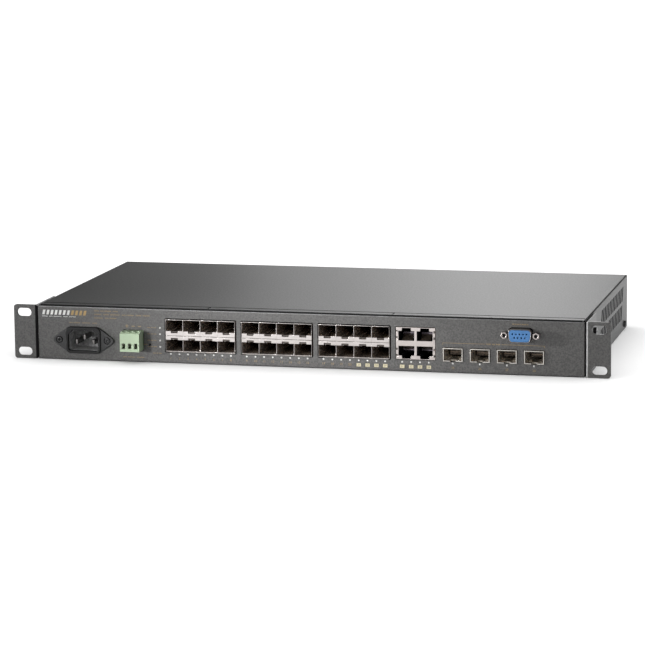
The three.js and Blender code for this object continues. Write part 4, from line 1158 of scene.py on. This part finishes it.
def add_camera():
    """A long lens, above and to the right of the middle, turned a little to the left."""
    data = bpy.data.cameras.new("camera")
    data.lens = CAMERA_LENS
    camera = add_object("camera", data)
    right = Vector(CAMERA_RIGHT).normalized()
    back = right.cross(Vector(CAMERA_UP)).normalized()
    turn = Matrix((right, back.cross(right), back)).transposed().to_4x4()
    camera.matrix_world = Matrix.Translation(place(*CAMERA_AT)) @ turn
    bpy.context.scene.camera = camera


def add_lamp(name, kind, at, target, power):
    data = bpy.data.lights.new(name, kind)
    data.energy = power
    lamp = add_object(name, data)
    lamp.location = at
    lamp.rotation_mode = "QUATERNION"
    lamp.rotation_quaternion = (Vector(target) - Vector(at)).to_track_quat("-Z", "Y")
    return lamp


def add_area(name, at, target, size, power):
    lamp = add_lamp(name, "AREA", at, target, power)
    lamp.data.shape = "RECTANGLE"
    lamp.data.size, lamp.data.size_y = size
    return lamp


def add_spot(name, at, target, radius, cone, power):
    """A gridded lamp: its light falls away smoothly from the middle of its cone, given in degrees."""
    lamp = add_lamp(name, "SPOT", at, target, power)
    lamp.data.shadow_soft_size = radius
    lamp.data.spot_size = math.radians(cone)
    lamp.data.spot_blend = 1
    return lamp


def glow_floor(material):
    """Lets the floor glow far away, so that it reads as a white sweep."""
    nodes = material.node_tree.nodes
    links = material.node_tree.links
    shader = nodes["Principled BSDF"]
    where = nodes.new("ShaderNodeTexCoord")
    length = nodes.new("ShaderNodeVectorMath")
    length.operation = "LENGTH"
    glow = nodes.new("ShaderNodeMapRange")
    set_inputs(glow, From_Min=GLOW_START, From_Max=GLOW_FULL)
    links.new(where.outputs["Object"], length.inputs[0])
    links.new(length.outputs["Value"], glow.inputs["Value"])
    links.new(glow.outputs["Result"], shader.inputs["Emission Strength"])
    set_inputs(shader, Emission_Color=(1, 1, 1, 1))


def add_floor():
    mesh = bpy.data.meshes.new("floor")
    corners = rectangle(-FLOOR_REACH, FLOOR_REACH, -FLOOR_REACH, FLOOR_REACH)
    mesh.from_pydata([(x, y, -FLOOR_DROP) for x, y in corners], [], [(0, 1, 2, 3)])
    glow_floor(FLOOR)
    mesh.materials.append(FLOOR)
    floor = add_object("floor", mesh)
    floor.visible_diffuse = False
    return floor


def link_lamps(name, lamps, things, state):
    """Makes lamps light only the given things (INCLUDE), or everything but them (EXCLUDE)."""
    group = bpy.data.collections.new(name)
    for thing in things:
        group.objects.link(thing)
    for entry in group.collection_objects:
        entry.light_linking.link_state = state
    for lamp in lamps:
        lamp.light_linking.receiver_collection = group


def add_studio():
    world = bpy.data.worlds.new("studio")
    bpy.context.scene.world = world
    world.use_nodes = True
    background = world.node_tree.nodes["Background"]
    set_inputs(background, Color=(1, 1, 1, 1), Strength=WORLD_STRENGTH)
    lamps = [
        add_area("key", KEY_AT, (0, -0.1, 0.02), (0.8, 0.5), 13.5),
        add_spot("key_centre", KEY_AT, (0, -0.1, 0.014), 0.06, 7.2, 200),
        add_spot("ear_rim", (-1.3, -0.45, 0.2), (0.226, -0.108, 0.022), 0.12, 8, 280),
        add_area("right_fill", (1.3, -2, 0.8), (0.1, -0.1, 0.02), (1, 0.8), 6),
    ]
    for x0, x1, z0, z1, radiance in BACK_WASH:
        power = radiance * math.pi * (x1 - x0) * (z1 - z0)
        at = (middle(x0, x1), BACK_WASH_Y, middle(z0, z1))
        lamps.append(add_area("back_wash", at, (at[0], 0, 0.04), (x1 - x0, z1 - z0), power))
    floor = add_floor()
    link_lamps("all_but_floor", lamps, [floor], "EXCLUDE")
    wash = add_area("floor_wash", (0, -0.2, 1), (0, -0.2, 0), (5, 5), 106)
    link_lamps("only_floor", [wash], [floor], "INCLUDE")
    strip = add_area("edge_strip", (-0.52, -0.5, 1.6), (-0.1, -0.1, 0.04), (0.42, 0.9), 6.5)
    edges = [bpy.data.objects[name] for name in ("front_sheet", "flange_fold_highlight")]
    link_lamps("only_edges", [strip], edges, "INCLUDE")
    bpy.context.scene.view_settings.view_transform = "Standard"


add_camera()
build_panel()
build_cover()
for ear in SIDES:
    build_ear(*ear)
build_side_screws()
build_inlet()
build_terminal()
for cage in enumerate(SFP_BOXES, 1):
    build_cage_block(*cage)
for cage in enumerate(PLUS_BOXES, 1):
    build_plus_cage(*cage)
build_copper()
build_console()
build_lamps()
build_prints()
dress_cad_nodes()
add_studio()
